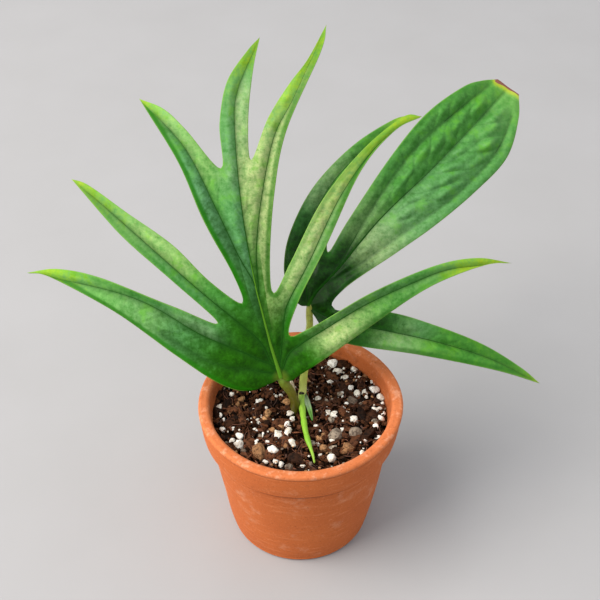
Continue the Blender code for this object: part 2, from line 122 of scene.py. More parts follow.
def smooth_curve(points: list | Array, count: int) -> Array:
    """Points at even spacing along the smooth curve through the given ones.

    Args:
        points: The points that the curve passes through, in two or three dimensions.
        count: How many points to give back.

    Returns:
        An array of count points.
    """
    fine = curve_through(points, 16)
    run = run_along(fine)
    even = np.linspace(0, run[-1], count)
    return np.stack([np.interp(even, run, fine[:, axis]) for axis in range(fine.shape[1])], axis=1)


def curve_length(points: list | Array) -> float:
    """Length of the smooth curve through the points."""
    return float(run_along(smooth_curve(points, 60))[-1])


def profile(share: Array, pairs: list[Pair]) -> Array:
    """The value at each share of the way, from pairs of share and value."""
    return np.interp(share, *np.array(pairs, dtype=float).T)


def beside(line: Array, places: Array) -> tuple[Array, Array, Array]:
    """Where flat places lie from a line of short steps.

    The nearest place on a step is start + u step, with u the share (place - start) . step over
    step . step, kept within 0 and 1. The side is the sign of the cross product of step and offset.

    Args:
        line: Points of the line, as (points, 2).
        places: Places, as (places, 2).

    Returns:
        For each place its distance, its signed distance, left of the line positive, and the run
        along the line of the nearest point.
    """
    start, step = line[:-1], np.diff(line, axis=0)
    length = np.linalg.norm(step, axis=1)
    offset = places[:, None, :] - start
    share = np.clip((offset * step).sum(-1) / length**2, 0, 1)
    away = offset - share[..., None] * step
    distance = np.hypot(away[..., 0], away[..., 1])
    best, row = distance.argmin(1), np.arange(len(places))
    nearest = distance[row, best]
    cross = step[best, 0] * offset[row, best, 1] - step[best, 1] * offset[row, best, 0]
    return nearest, np.sign(cross) * nearest, run_along(line)[best] + share[row, best] * length[best]


def far_from(places: Array, points: Array) -> Array:
    """The distance of each flat place from the nearest of the points."""
    return np.sqrt(((places[:, None, :] - points) ** 2).sum(-1).min(1))


def relief(places: Array, wavelength: float, seed: int) -> Array:
    """Smooth random relief, about -1 to 1.

    The sum of sine waves that run in random directions, with lengths from 0.7 to 1.4 times the
    given one and random phases, divided by the root of half their number.

    Args:
        places: Points in two or three dimensions, as the last axis of the array.
        wavelength: The typical distance from one rise to the next, in the points' unit.
        seed: The seed of the directions and phases.

    Returns:
        The relief at each place.
    """
    rng, waves = np.random.default_rng(seed), 14
    way = rng.normal(size=(waves, places.shape[-1]))
    way *= math.tau / wavelength / np.linalg.norm(way, axis=1)[:, None] * rng.uniform(0.7, 1.4, (waves, 1))
    phase = rng.uniform(0, math.tau, waves)
    return np.sin(places @ way.T + phase).sum(-1) / math.sqrt(waves / 2)


def stacked(*parts: Array) -> Array:
    """Parts of any matching shapes as the last axis of one array."""
    return np.stack(np.broadcast_arrays(*parts), axis=-1)


# Meshes


def grid_faces(rows: int, columns: int, around: bool = False, closed: bool = False) -> Array:
    """Four-sided faces between the neighbouring points of a grid.

    Args:
        rows: Points down the grid.
        columns: Points across it.
        around: Whether the last column joins the first.
        closed: Whether the last row joins the first.

    Returns:
        An array of four point numbers for each face.
    """
    down = np.arange(rows if closed else rows - 1)[:, None]
    over = np.arange(columns if around else columns - 1)[None, :]
    below, beyond = (down + 1) % rows, (over + 1) % columns
    first, second = down * columns, below * columns
    return stacked(first + over, first + beyond, second + beyond, second + over).reshape(-1, 4)


def repeated(cell: Array, count: int, stride: int) -> Array:
    """The faces of one shape, repeated for shapes that follow each other in the list of points."""
    return (cell[None] + (np.arange(count) * stride)[:, None, None]).reshape(-1, 4)


def tube(path: Array, radii: Array, sides: int, upward: Array, flat: float = 1.0) -> Array:
    """Rings of points round one path or many.

    A point of a ring is path + radius x (cos a x side + flat x sin a x up), where up is the part of
    the upward direction at right angles to the path, and side is at right angles to both.

    Args:
        path: Points along the path, as (..., points, 3).
        radii: The radius at each point, as (..., points).
        sides: Points in a ring.
        upward: A direction that the path never follows.
        flat: The height of a ring as a share of its width.

    Returns:
        Points as (..., points, sides, 3).
    """
    ahead = np.gradient(path, axis=-2)
    up = np.cross(ahead, np.cross(upward, ahead))
    up /= np.linalg.norm(up, axis=-1, keepdims=True)
    side = np.cross(up, ahead)
    side /= np.linalg.norm(side, axis=-1, keepdims=True)
    turn = np.linspace(0, math.tau, sides, endpoint=False)[:, None]
    ring = np.cos(turn) * side[..., None, :] + flat * np.sin(turn) * up[..., None, :]
    return path[..., None, :] + radii[..., None, None] * ring


def mesh_piece(
    name: str,
    points: Array,
    faces: Array,
    finishes: list["Finish"],
    values: dict[Mark, Array] | None = None,
    apart: bool = False,
    weld: bool = False,
    sharp: bool = False,
) -> bpy.types.Object:
    """A mesh object at the origin, from points in millimetres round the pot's axis.

    Args:
        name: The piece's name.
        points: Points as (..., 3).
        faces: Point numbers as (faces, 4).
        finishes: The finishes, the first of which every face starts with.
        values: Values for the material: one number or three for each point.
        apart: Whether faces that meet in a welded point keep their own values there.
        weld: Whether points in the same place are joined, as at poles and seams.
        sharp: Whether every face shows flat, as on broken stone, rather than smooth.

    Returns:
        The object, linked to the scene and riding on nothing yet.
    """
    flat_points = points.reshape(-1, 3) * MM + pot_axis()
    mesh = bpy.data.meshes.new(name)
    mesh.vertices.add(len(flat_points))
    mesh.vertices.foreach_set("co", flat_points.astype(np.float32).ravel())
    mesh.loops.add(faces.size)
    mesh.loops.foreach_set("vertex_index", faces.astype(np.int32).ravel())
    mesh.polygons.add(len(faces))
    mesh.polygons.foreach_set("loop_start", np.arange(0, faces.size, 4, dtype=np.int32))
    mesh.update(calc_edges=True)
    for mark, value in (values or {}).items():
        value = value.reshape(len(flat_points), -1)
        several = value.shape[1] == 3
        value = value[faces.ravel()] if apart else value
        domain = "CORNER" if apart else "POINT"
        layer = mesh.attributes.new(mark.value, "FLOAT_VECTOR" if several else "FLOAT", domain)
        layer.data.foreach_set("vector" if several else "value", value.astype(np.float32).ravel())
    if weld:
        form = bmesh.new()
        form.from_mesh(mesh)
        bmesh.ops.remove_doubles(form, verts=form.verts, dist=0.01 * MM)
        form.to_mesh(mesh)
        form.free()
    if sharp:
        mesh.shade_flat()
    else:
        mesh.shade_smooth()
    for finish in finishes:
        mesh.materials.append(finish.material())
    piece = bpy.data.objects.new(name, mesh)
    bpy.context.scene.collection.objects.link(piece)
    return piece


def settle(piece: bpy.types.Object, slot: Slot, *nodes: str) -> None:
    """Lets a piece ride on the part's body and hides the CAD nodes it stands for."""
    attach(piece, BODY)
    if nodes:
        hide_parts(*nodes)
    LOG.info("%s: %d faces", piece.name, len(piece.data.polygons))


# Materials


def linear(hex_colour: str) -> tuple[float, float, float, float]:
    """An sRGB colour such as #a0b0c0 as linear red, green, blue and alpha."""
    channels = [int(hex_colour[k : k + 2], 16) / 255 for k in (1, 3, 5)]
    red, green, blue = (c / 12.92 if c <= 0.04045 else ((c + 0.055) / 1.055) ** 2.4 for c in channels)
    return red, green, blue, 1.0


def per(size: float) -> float:
    """The scale of a pattern whose features are so many millimetres, on coordinates in metres."""
    return 1.0 / (size * MM)


# The numbers of a Mix node's sockets for colours.
FACTOR, UNDER, OVER, MIXED = 0, 6, 7, 2


def add_node(
    tree: Tree, kind: str, inputs: dict | tuple = (), stops: tuple[Stop, ...] = (), **settings: object
) -> bpy.types.Node:
    """Adds a shader node, sets it up and links it.

    Args:
        tree: The material's or world's node tree.
        kind: The node's kind, without the words ShaderNode.
        inputs: A value, or the output socket to link, for each input, by name or in order.
        stops: Places and hex colours of a colour ramp.
        settings: The node's own properties.

    Returns:
        The node.
    """
    made = tree.nodes.new("ShaderNode" + kind)
    for key, value in settings.items():
        setattr(made, key, value)
    for key, value in inputs.items() if isinstance(inputs, dict) else enumerate(inputs):
        if isinstance(value, Socket):
            tree.links.new(value, made.inputs[key])
        else:
            made.inputs[key].default_value = value
    for _ in stops[2:]:
        made.color_ramp.elements.new(1.0)
    for element, (place, colour) in zip(made.color_ramp.elements if stops else (), stops):
        element.position, element.color = place, linear(colour)
    return made


@dataclass
class Coat:
    """A tint laid over a colour where a value lies past low, in full from high on.

    most is the tint's greatest share, and where is a second value from 0 to 1 that scales it.
    """

    value: Socket
    low: float
    high: float
    most: float
    tint: str
    where: Socket | None = None


def laid_over(tree: Tree, colour: Socket, coats: list[Coat]) -> Socket:
    """Lays coats of tint over a colour, one after the other.

    Args:
        tree: The material's node tree.
        colour: The colour under them all.
        coats: The coats, from the lowest up.

    Returns:
        The colour with every coat on it.
    """
    for coat in coats:
        limits = (coat.value, coat.low, coat.high, 0.0, coat.most)
        mask = add_node(tree, "MapRange", limits, interpolation_type="SMOOTHSTEP").outputs[0]
        if coat.where:
            mask = add_node(tree, "Math", (mask, coat.where), operation="MULTIPLY").outputs[0]
        layers = {FACTOR: mask, UNDER: colour, OVER: linear(coat.tint)}
        colour = add_node(tree, "Mix", layers, data_type="RGBA").outputs[MIXED]
    return colour


@dataclass
class Look:
    """What a finish works out: a colour, heights with their depths in millimetres, a roughness."""

    colour: Socket
    heights: list[tuple[Socket, float]] = field(default_factory=list)
    roughness: Socket | None = None


@dataclass(frozen=True)
class Finish:
    """What every finish has: a name, and the numbers that are the same all over the surface."""

    name: str
    roughness: float = 0.6
    ior: float = 1.5
    specular: float = 0.5
    coat: float = 0.0
    coat_roughness: float = 0.3

    def material(self) -> bpy.types.Material:
        """The finish's material, made once."""
        found = bpy.data.materials.get(self.name)
        if found:
            return found
        made = bpy.data.materials.new(self.name)
        made.use_nodes = True
        tree = made.node_tree
        shader = tree.nodes["Principled BSDF"]
        for socket, value in (
            ("Roughness", self.roughness),
            ("IOR", self.ior),
            ("Specular IOR Level", self.specular),
            ("Coat Weight", self.coat),
            ("Coat Roughness", self.coat_roughness),
        ):
            shader.inputs[socket].default_value = value
        look = self.paint(tree)
        tree.links.new(look.colour, shader.inputs["Base Color"])
        if look.roughness:
            tree.links.new(look.roughness, shader.inputs["Roughness"])
        normal = None
        for height, depth in look.heights:
            inputs = {"Height": height, "Strength": 1.0, "Distance": depth * MM}
            normal = add_node(tree, "Bump", {**inputs, "Normal": normal} if normal else inputs).outputs[0]
        if normal:
            tree.links.new(normal, shader.inputs["Normal"])
        return made

    def paint(self, tree: Tree) -> Look:
        """The colour and the relief; each finish has its own."""
        raise NotImplementedError


@dataclass(frozen=True)
class Terracotta(Finish):
    """Fired red earthenware, pressed in a mould and left unglazed.

    The eye gets a dry, saturated orange with slow clouds in it, a chalky pale bloom where water has
    dried, fine grit, faint rings from the turning, a lighter worn lip, an inside that turns browner
    and darker towards the soil, and painted shade under the band and under the lip's bead.
    """

    clay: str = "#bf652e"
    clay_dark: str = "#ab5526"
    bloom: str = "#cf9a7a"
    lip: str = "#bd6b3e"
    scuff: str = "#dba384"
    inside_dark: str = "#8a4a24"
    pale_grit: str = "#d9895a"
    dark_grit_and_shade: str = "#6e3216"

    def paint(self, tree: Tree) -> Look:
        """Clouds, bloom, grit, lip, stains, the darker inside and painted shade under the band and bead over
        the clay's colour, and a gritty relief.
        """
        place = add_node(tree, "TexCoord").outputs["Object"]
        zones = add_node(tree, "Attribute", attribute_name=Mark.PAINT.value).outputs["Vector"]
        lip, inside, crease = add_node(tree, "SeparateXYZ", (zones,)).outputs
        # The rings of the turning are stretched eight times sideways. The grit is twice the real one.
        level = add_node(tree, "Mapping", {"Vector": place, "Scale": (0.12, 0.12, 1.0)}).outputs[0]
        cloud, bloom, worn, stain, grit, rings = (
            add_node(
                tree, "TexNoise", {"Vector": where, "Scale": per(size), "Detail": detail, "Roughness": rough}
            ).outputs[0]
            for where, size, detail, rough in (
                (place, 22, 3, 0.5), (place, 12, 8, 0.66), (place, 3.2, 6, 0.65), (place, 5, 6, 0.6),
                (place, 0.9, 2, 0.6), (level, 1.6, 3, 0.6),
            )
        )
        layers = {FACTOR: cloud, UNDER: linear(self.clay_dark), OVER: linear(self.clay)}
        base = add_node(tree, "Mix", layers, data_type="RGBA").outputs[MIXED]
        coats = [
            Coat(rings, 0.52, 0.7, 0.25, self.pale_grit),
            Coat(bloom, 0.53, 0.74, 0.6, self.bloom),
            Coat(lip, 0.0, 1.0, 0.7, self.lip),
            Coat(stain, 0.5, 0.66, 0.3, self.clay_dark, lip),
            Coat(worn, 0.5, 0.7, 0.5, self.scuff, lip),
            # The inside turns browner and darker towards the soil.
            Coat(inside, 0.0, 1.0, 0.28, self.inside_dark),
            Coat(stain, 0.5, 0.66, 0.5, self.dark_grit_and_shade, inside),
            Coat(grit, 0.6, 0.72, 0.35, self.pale_grit),
            Coat(grit, 0.4, 0.28, 0.4, self.dark_grit_and_shade),
            # Painted shade under the band and under the lip's bead.
            Coat(crease, 0.15, 1.0, 0.75, self.dark_grit_and_shade),
        ]
        return Look(laid_over(tree, base, coats), [(worn, 0.2), (rings, 0.12), (grit, 0.08)])


@dataclass(frozen=True)
class LivingBlade(Finish):
    """The upper side of an aroid leaf: a waxy skin over soft green tissue.

    The eye gets a satin green that is deep in the palm and lighter in the fingers, darker sunk
    veins with painted shade in their grooves, cream mottling in patches mixed with painted
    highlights, a grey-green painted sheen, a plain green margin deepened by painted shade where the
    edge turns down, a pale rim line that is partly painted highlight, and yellow tips.

    laterals and vein_and_shade_most are the greatest shares of the vein colour, which also paints
    shade in the grooves, on the side veins and beside the main ones, vein_shade_width how far the
    painted shade beside the latter reaches in millimetres, and clouding and graining how much the
    two patterns move the tone.
    """

    tones: tuple[Stop, ...] = (
        (0.0, "#123801"), (0.22, "#205603"), (0.45, "#3e7b2e"),
        (0.7, "#679e50"), (0.88, "#84b236"), (1.0, "#a0bc2e"),
    )
    pale: str = "#b8bf84"
    cool_sheen: str = "#689676"
    lush: str = "#4b9012"
    vein: str = "#12360c"
    fleck: str = "#54571f"
    margin: str = "#185c01"
    rim_and_highlight: str = "#769e3e"
    dried: str = "#845447"
    heel_and_shade: str = "#5a681c"
    laterals: float = 0.16
    vein_and_shade_most: float = 0.42
    vein_shade_width: float = 3.4
    clouding: float = 0.6
    graining: float = 0.6

    def paint(self, tree: Tree) -> Look:
        """Tissue, mottling, painted sheen and highlights, veins with painted shade, margin and rim, from the
        values on the blade.
        """
        flat, veins, paints, spots = (
            add_node(tree, "Attribute", attribute_name=mark.value).outputs["Vector"]
            for mark in (Mark.FLAT, Mark.VEIN, Mark.PAINT, Mark.SPOT)
        )
        near, phase, laterals = add_node(tree, "SeparateXYZ", (veins,)).outputs
        tone, pale, cool_sheen = add_node(tree, "SeparateXYZ", (paints,)).outputs
        dried, margin, edge = add_node(tree, "SeparateXYZ", (spots,)).outputs
        cloud, mottle, fleck = (
            add_node(
                tree, "TexNoise", {"Vector": flat, "Scale": per(size), "Detail": detail, "Roughness": rough}
            ).outputs[0]
            for size, detail, rough in ((6, 5, 0.65), (1.8, 5, 0.75), (1.2, 1, 0.5))
        )
        grained = tone
        for pattern, strength in ((cloud, self.clouding), (mottle, self.graining)):
            terms = (pattern, strength, grained)
            grained = add_node(tree, "Math", terms, operation="MULTIPLY_ADD").outputs[0]
        # The patterns are a half on average, which is taken off again here.
        added = 0.5 * (self.clouding + self.graining)
        level = add_node(tree, "MapRange", (grained, added, added + 1.0, 0.0, 1.0)).outputs[0]
        tissue = add_node(tree, "ValToRGB", (level,), stops=self.tones).outputs[0]
        # Both mottlings break up in the same patches.
        patchy = add_node(tree, "Math", (cloud, 0.6, mottle), operation="MULTIPLY_ADD").outputs[0]
        broken = add_node(tree, "MapRange", (patchy, 0.6, 0.95, 0.25, 1.1)).outputs[0]
        # Veins and margin fade in the yellow tips, and the lush green stays off the palm too.
        not_tip = add_node(tree, "MapRange", (tone, 0.75, 1.05, 1.0, 0.15)).outputs[0]
        finger = add_node(tree, "MapRange", (tone, 0.22, 0.45, 0.0, 1.0)).outputs[0]
        lively = add_node(tree, "Math", (finger, not_tip), operation="MULTIPLY").outputs[0]
        foot = add_node(tree, "VectorMath", (flat,), operation="LENGTH").outputs["Value"]
        plain_edge = add_node(tree, "Math", (margin, not_tip), operation="MULTIPLY").outputs[0]
        # A stripe's value is 0 on a side vein and a half midway to the next one.
        stripe = add_node(tree, "Math", (phase, 0.5), operation="PINGPONG").outputs[0]
        coats = [
            # The grey-green coat is a painted sheen, and the cream coat is mottling with painted highlights
            # in it.
            Coat(cool_sheen, 0.0, 1.0, 0.7, self.cool_sheen, broken),
            Coat(pale, 0.0, 1.0, 0.85, self.pale, broken),
            Coat(fleck, 0.62, 0.72, 0.5, self.fleck, pale),
            Coat(cloud, 0.5, 0.66, 0.55, self.lush, lively),
            # Dark lines along the side veins: the veins themselves and painted shade in the valleys between
            # blisters.
            Coat(stripe, 0.14, 0.0, self.laterals, self.vein, laterals),
            # A wide band of vein colour beside the main veins is painted shade in their grooves; the narrow
            # one is the vein's own line.
            Coat(near, self.vein_shade_width * MM, 0.3 * MM, self.vein_and_shade_most, self.vein, not_tip),
            Coat(near, 1.0 * MM, 0.1 * MM, 0.9 * self.vein_and_shade_most, self.vein, not_tip),
            # The margin's dark green is partly painted shade where the edge turns down, and the pale rim line
            # is partly painted highlight.
            Coat(edge, 2.4 * MM, 1.2 * MM, 0.9, self.margin, plain_edge),
            Coat(edge, 0.5 * MM, 0.1 * MM, 0.4, self.rim_and_highlight),
            # The heel is the blade's colour where the stalk meets it; on the rear blade it is dark with
            # painted shade.
            Coat(foot, 4.2 * MM, 0.8 * MM, 0.55, self.heel_and_shade),
            Coat(dried, 0.35, 0.6, 1.0, self.dried),
        ]
        colour = laid_over(tree, tissue, coats)
        # The skin is duller where it is mottled, and side veins lie in shallow grooves.
        gloss = add_node(tree, "MapRange", (mottle, 0.3, 0.7, self.roughness - 0.06, self.roughness + 0.1))
        groove = add_node(tree, "MapRange", (stripe, 0.0, 0.2, 0.0, 1.0), interpolation_type="SMOOTHSTEP")
        low = add_node(tree, "Math", (groove.outputs[0], laterals), operation="MULTIPLY").outputs[0]
        # The pebbled grain of the skin is about a millimetre, two or three times the real cells.
        return Look(colour, [(low, 0.6 * self.laterals), (mottle, 0.2)], gloss.outputs[0])


@dataclass(frozen=True)
class LeafUnderside(Finish):
    """The lower side of the leaf: the same tissue without the waxy gloss, paler and matt."""

    tissue: str = "#4f8a3f"
    shade: str = "#3a7231"
    vein: str = "#8ab45c"
    tip: str = "#a4c250"

    def paint(self, tree: Tree) -> Look:
        """Pale tissue in slow clouds with lighter veins and yellow tips."""
        flat, veins, paints = (
            add_node(tree, "Attribute", attribute_name=mark.value).outputs["Vector"]
            for mark in (Mark.FLAT, Mark.VEIN, Mark.PAINT)
        )
        near = add_node(tree, "SeparateXYZ", (veins,)).outputs[0]
        tone = add_node(tree, "SeparateXYZ", (paints,)).outputs[0]
        cloud, grain = (
            add_node(tree, "TexNoise", {"Vector": flat, "Scale": per(size), "Detail": 4.0}).outputs[0]
            for size in (9, 1.5)
        )
        layers = {FACTOR: cloud, UNDER: linear(self.shade), OVER: linear(self.tissue)}
        base = add_node(tree, "Mix", layers, data_type="RGBA").outputs[MIXED]
        coats = [Coat(tone, 0.5, 1.0, 0.9, self.tip), Coat(near, 0.9 * MM, 0.2 * MM, 0.8, self.vein)]
        return Look(laid_over(tree, base, coats), [(grain, 0.15)])


@dataclass(frozen=True)
class VeinSkin(Finish):
    """A leaf's main veins: the midrib is yellow-green near the stalk, the rest are dark green."""

    tints: tuple[Stop, ...] = ((0.0, "#15400c"), (0.4, "#2b6010"), (1.0, "#47721b"))

    def paint(self, tree: Tree) -> Look:
        """A ramp over the vein's own tint, a little uneven."""
        place = add_node(tree, "TexCoord").outputs["Object"]
        tint = add_node(tree, "Attribute", attribute_name=Mark.TINT.value).outputs["Fac"]
        uneven = add_node(tree, "TexNoise", {"Vector": place, "Scale": per(3), "Detail": 2.0}).outputs[0]
        shade = add_node(tree, "Math", (uneven, 0.3, tint), operation="MULTIPLY_ADD").outputs[0]
        level = add_node(tree, "MapRange", (shade, 0.15, 1.15, 0.0, 1.0)).outputs[0]
        return Look(add_node(tree, "ValToRGB", (level,), stops=self.tints).outputs[0])


@dataclass(frozen=True)
class PlantSkin(Finish):
    """The skin of a stalk, root, shoot or sheath: fibres run along it under a satin cuticle.

    The eye gets a colour that changes from foot to end, fine streaks along it and a few specks.
    """

    along: tuple[Stop, ...] = ((0.0, "#4f5a24"), (1.0, "#7a9a3c"))
    streak: str = "#2f4a16"
    streak_most: float = 0.3
    streak_width: float = 0.5
    speck: str = "#3a2a16"
    speck_most: float = 0.3

    def paint(self, tree: Tree) -> Look:
        """A ramp from foot to end, streaks that follow it, and specks."""
        place = add_node(tree, "TexCoord").outputs["Object"]
        share = add_node(tree, "Attribute", attribute_name=Mark.SHARE.value).outputs["Fac"]
        flat = add_node(tree, "Attribute", attribute_name=Mark.FLAT.value).outputs["Vector"]
        ramp = add_node(tree, "ValToRGB", (share,), stops=self.along).outputs[0]
        fibre, speck = (
            add_node(tree, "TexNoise", {"Vector": where, "Scale": per(size), "Detail": 3.0}).outputs[0]
            for where, size in ((flat, self.streak_width), (place, 1.4))
        )
        coats = [
            Coat(fibre, 0.45, 0.68, self.streak_most, self.streak),
            Coat(speck, 0.6, 0.7, self.speck_most, self.speck),
        ]
        return Look(laid_over(tree, ramp, coats), [(fibre, 0.12)])


@dataclass(frozen=True)
class LooseGrain(Finish):
    """A kind of grain in the mix: each grain has its own tint, and pits with painted shade in them and dust
    of a given size.
    """

    light: str = "#e9e4da"
    dark: str = "#cbbfae"
    pit_shade_and_dust: str = "#8f7c68"
    pit_size: float = 1.0
    pit_most: float = 0.5
    pit_depth: float = 0.3

    def paint(self, tree: Tree) -> Look:
        """A tint for each grain, painted shade in its pits, darker dust and a pitted relief."""
        place = add_node(tree, "TexCoord").outputs["Object"]
        tint = add_node(tree, "Attribute", attribute_name=Mark.TINT.value).outputs["Fac"]
        pits, grime = (
            add_node(
                tree, "TexNoise", {"Vector": place, "Scale": per(size), "Detail": 3.0, "Roughness": 0.6}
            ).outputs[0]
            for size in (self.pit_size, 3.1 * self.pit_size)
        )
        layers = {FACTOR: tint, UNDER: linear(self.dark), OVER: linear(self.light)}
        base = add_node(tree, "Mix", layers, data_type="RGBA").outputs[MIXED]
        coats = [
            # The pit colour is dust in the wider coat and painted shade in the pits.
            Coat(grime, 0.5, 0.68, self.pit_most * 0.7, self.pit_shade_and_dust),
            Coat(pits, 0.5, 0.38, self.pit_most, self.pit_shade_and_dust),
        ]
        return Look(laid_over(tree, base, coats), [(pits, self.pit_depth)])


@dataclass(frozen=True)
class StudioBoard(Finish):
    """A painted board: pale grey, dead matt, with the faintest cloud in it."""

    light: str = "#a2a1a3"
    dark: str = "#9b9a9b"

    def paint(self, tree: Tree) -> Look:
        """Two near greys in slow clouds."""
        place = add_node(tree, "TexCoord").outputs["Object"]
        cloud = add_node(tree, "TexNoise", {"Vector": place, "Scale": per(60), "Detail": 4.0}).outputs[0]
        layers = {FACTOR: cloud, UNDER: linear(self.dark), OVER: linear(self.light)}
        return Look(add_node(tree, "Mix", layers, data_type="RGBA").outputs[MIXED])


# The pot


@dataclass
class ClayPot:
    """A small clay pot: a rounded lip on a wide band, over a tapered body with a drain hole.

    A pair is a radius and a height in the section. The lines are the heights of the groove under
    the lip, under which a faint shade is painted, of the painted shade under the band and of the
    upper edge of the darkening inside. wobble is how far the pot is out of round, and wobble_length
    the distance between its swellings.
    """

    rim_radius: float = 40.0
    rim_height: float = 65.2
    lip_round: float = 1.2
    inside_round: float = 1.7
    band_bottom: Pair = (38.25, 52.2)
    crease: Pair = (35.9, 50.6)
    body_middle: Pair = (31.8, 22.0)
    foot_radius: float = 28.4
    foot_round: float = 1.8
    inside_top: float = 35.6
    floor_radius: float = 24.6
    floor_thickness: float = 5.0
    floor_round: float = 2.0
    drain_radius: float = 5.0
    drain_round: float = 0.8
    bead_line: float = 63.0
    shade_line: float = 48.6
    inside_dark_top: float = 64.9
    inside_dark_fade: float = 5.0
    inner_lip: float = 64.4
    wobble: float = 0.14
    wobble_length: float = 45.0
    steps: int = 190
    finish: Terracotta = Terracotta(name="unglazed_terracotta", roughness=0.86, specular=0.3)

    def arc(self, centre: Pair, radius: float, start: float, end: float, count: int) -> list[Pair]:
        """Points of an arc in the section, from start to end degrees."""
        angles = np.radians(np.linspace(start, end, count))
        return list(zip(centre[0] + radius * np.cos(angles), centre[1] + radius * np.sin(angles)))

    def section(self) -> Array:
        """The clay's section as a closed ring of (radius, height), from the inside of the lip outwards."""
        lip, inner, top = self.lip_round, self.inside_round, self.rim_height
        edge, groove, crease = self.band_bottom, self.bead_line, self.crease
        foot, drain, floor, corner = self.foot_round, self.drain_round, self.floor_thickness, self.floor_round
        ring: list[Pair] = [
            # The lip, rounded on both sides, and the groove under it.
            *self.arc((self.inside_top + inner, top - inner), inner, 180, 96, 10),
            *self.arc((self.rim_radius - lip, top - lip), lip, 84, -25, 12),
            (self.rim_radius - 0.4, groove), (self.rim_radius - 0.4, groove - 0.6),
            # The band, which narrows a little downwards, and its rounded lower edge.
            (self.rim_radius - 0.5, groove - 2.1), (39.2, 57.6), (38.8, 54.6),
            *self.arc((edge[0] - 0.55, edge[1] + 0.35), 0.7, 5, -70, 6),
            # The crease under the band and the tapered body.
            (crease[0] + 1.1, crease[1] + 0.75), (crease[0] + 0.45, crease[1] + 0.45),
            crease, (crease[0] - 0.2, crease[1] - 0.8), (35.45, 47.5),
            (34.1, 38.0), (33.0, 30.0), self.body_middle, (30.3, 12.0), (29.1, 5.0),
            # The rounded foot and the sole, which is slightly hollow.
            *self.arc((self.foot_radius - foot, foot), foot, 8, -86, 9),
            (24.0, 0.0), (16.0, 0.25), (8.0, 0.3),
            # The drain hole, rounded at both ends.
            *self.arc((self.drain_radius + drain, 1.1), drain, -90, -180, 5),
            (self.drain_radius, 2.5),
            *self.arc((self.drain_radius + drain, floor - drain), drain, 180, 90, 5),
            # The floor inside and the inner wall.
            (12.0, floor), (20.0, floor),
            *self.arc((self.floor_radius - corner, floor + corner), corner, -90, -10, 5),
            (27.3, 20.0), (31.4, 42.0), (34.4, 57.0),
        ]
        return curve_through([*ring, ring[0]], 3)[:-1]

    def build(self) -> None:
        """The turned shell, a little out of round as a pressed pot is.

        A point is (r cos a, r sin a, z), where (r, z) is the section and r grows by wobble times a
        slow random relief of the place, which dies out in the lowest 12 mm.
        """
        section = self.section()
        count = len(section)
        radius, height = section[:, :1], section[:, 1:]
        turn = np.linspace(0, math.tau, self.steps, endpoint=False)[None, :]
        even = stacked(radius * np.cos(turn), radius * np.sin(turn), height)
        swelled = radius + self.wobble * relief(even, self.wobble_length, seed=3) * ease(height, 0.0, 12.0)
        places = stacked(swelled * np.cos(turn), swelled * np.sin(turn), height)
        # The last two fifths of the section run up the inner wall, and its first points up the lip.
        order = np.arange(count)[:, None]
        inner_wall = (order > count * 0.6) & (height > self.floor_thickness - 1)
        inner = inner_wall | ((order < 10) & (height < self.inner_lip))
        lip = ease((height - self.bead_line) / self.lip_round)
        # The inner wall darkens from the lip downwards, towards the soil.
        inside = ease((self.inside_dark_top - height) / self.inside_dark_fade) * inner
        # Seen from above, the band hides its own underside, so its shade is painted on the wall just below;
        # a fainter painted shade lies under the lip's bead.
        shades = ((self.shade_line, 0.8, 1.0), (self.bead_line, 0.35, 0.6))
        crease = sum(most * np.exp(-(((height - line) / width) ** 2)) for line, width, most in shades)
        paint = stacked(lip * np.ones_like(turn), inside, crease * ~inner)
        faces = grid_faces(count, self.steps, around=True, closed=True)
        settle(mesh_piece("clay_pot", places, faces, [self.finish], {Mark.PAINT: paint}), Slot.CLAY, "pot")


# The potting mix


@dataclass
class GrainKind:
    """One kind of grain: how many, how large, what shape, and what it is made of.

    sizes is the range of the widths in millimetres, long and tall the ranges of length and height
    as shares of the width, lumps the depth of the round relief and facets that of the broken faces.
    sunk is the range of the centre's height over the mix as a share of the width, apart the least
    distance to other grains as a share of both radii, and placed holds grains seen from above.
    """

    name: str
    finish: LooseGrain
    count: int
    sizes: Pair
    long: Pair = (0.8, 1.3)
    tall: Pair = (0.7, 1.0)
    lumps: float = 0.12
    facets: float = 0.6
    rings: int = 6
    sides: int = 8
    sunk: Pair = (-0.1, 0.2)
    apart: float = 0.9
    placed: tuple[Triple, ...] = ()
    sharp: bool = True


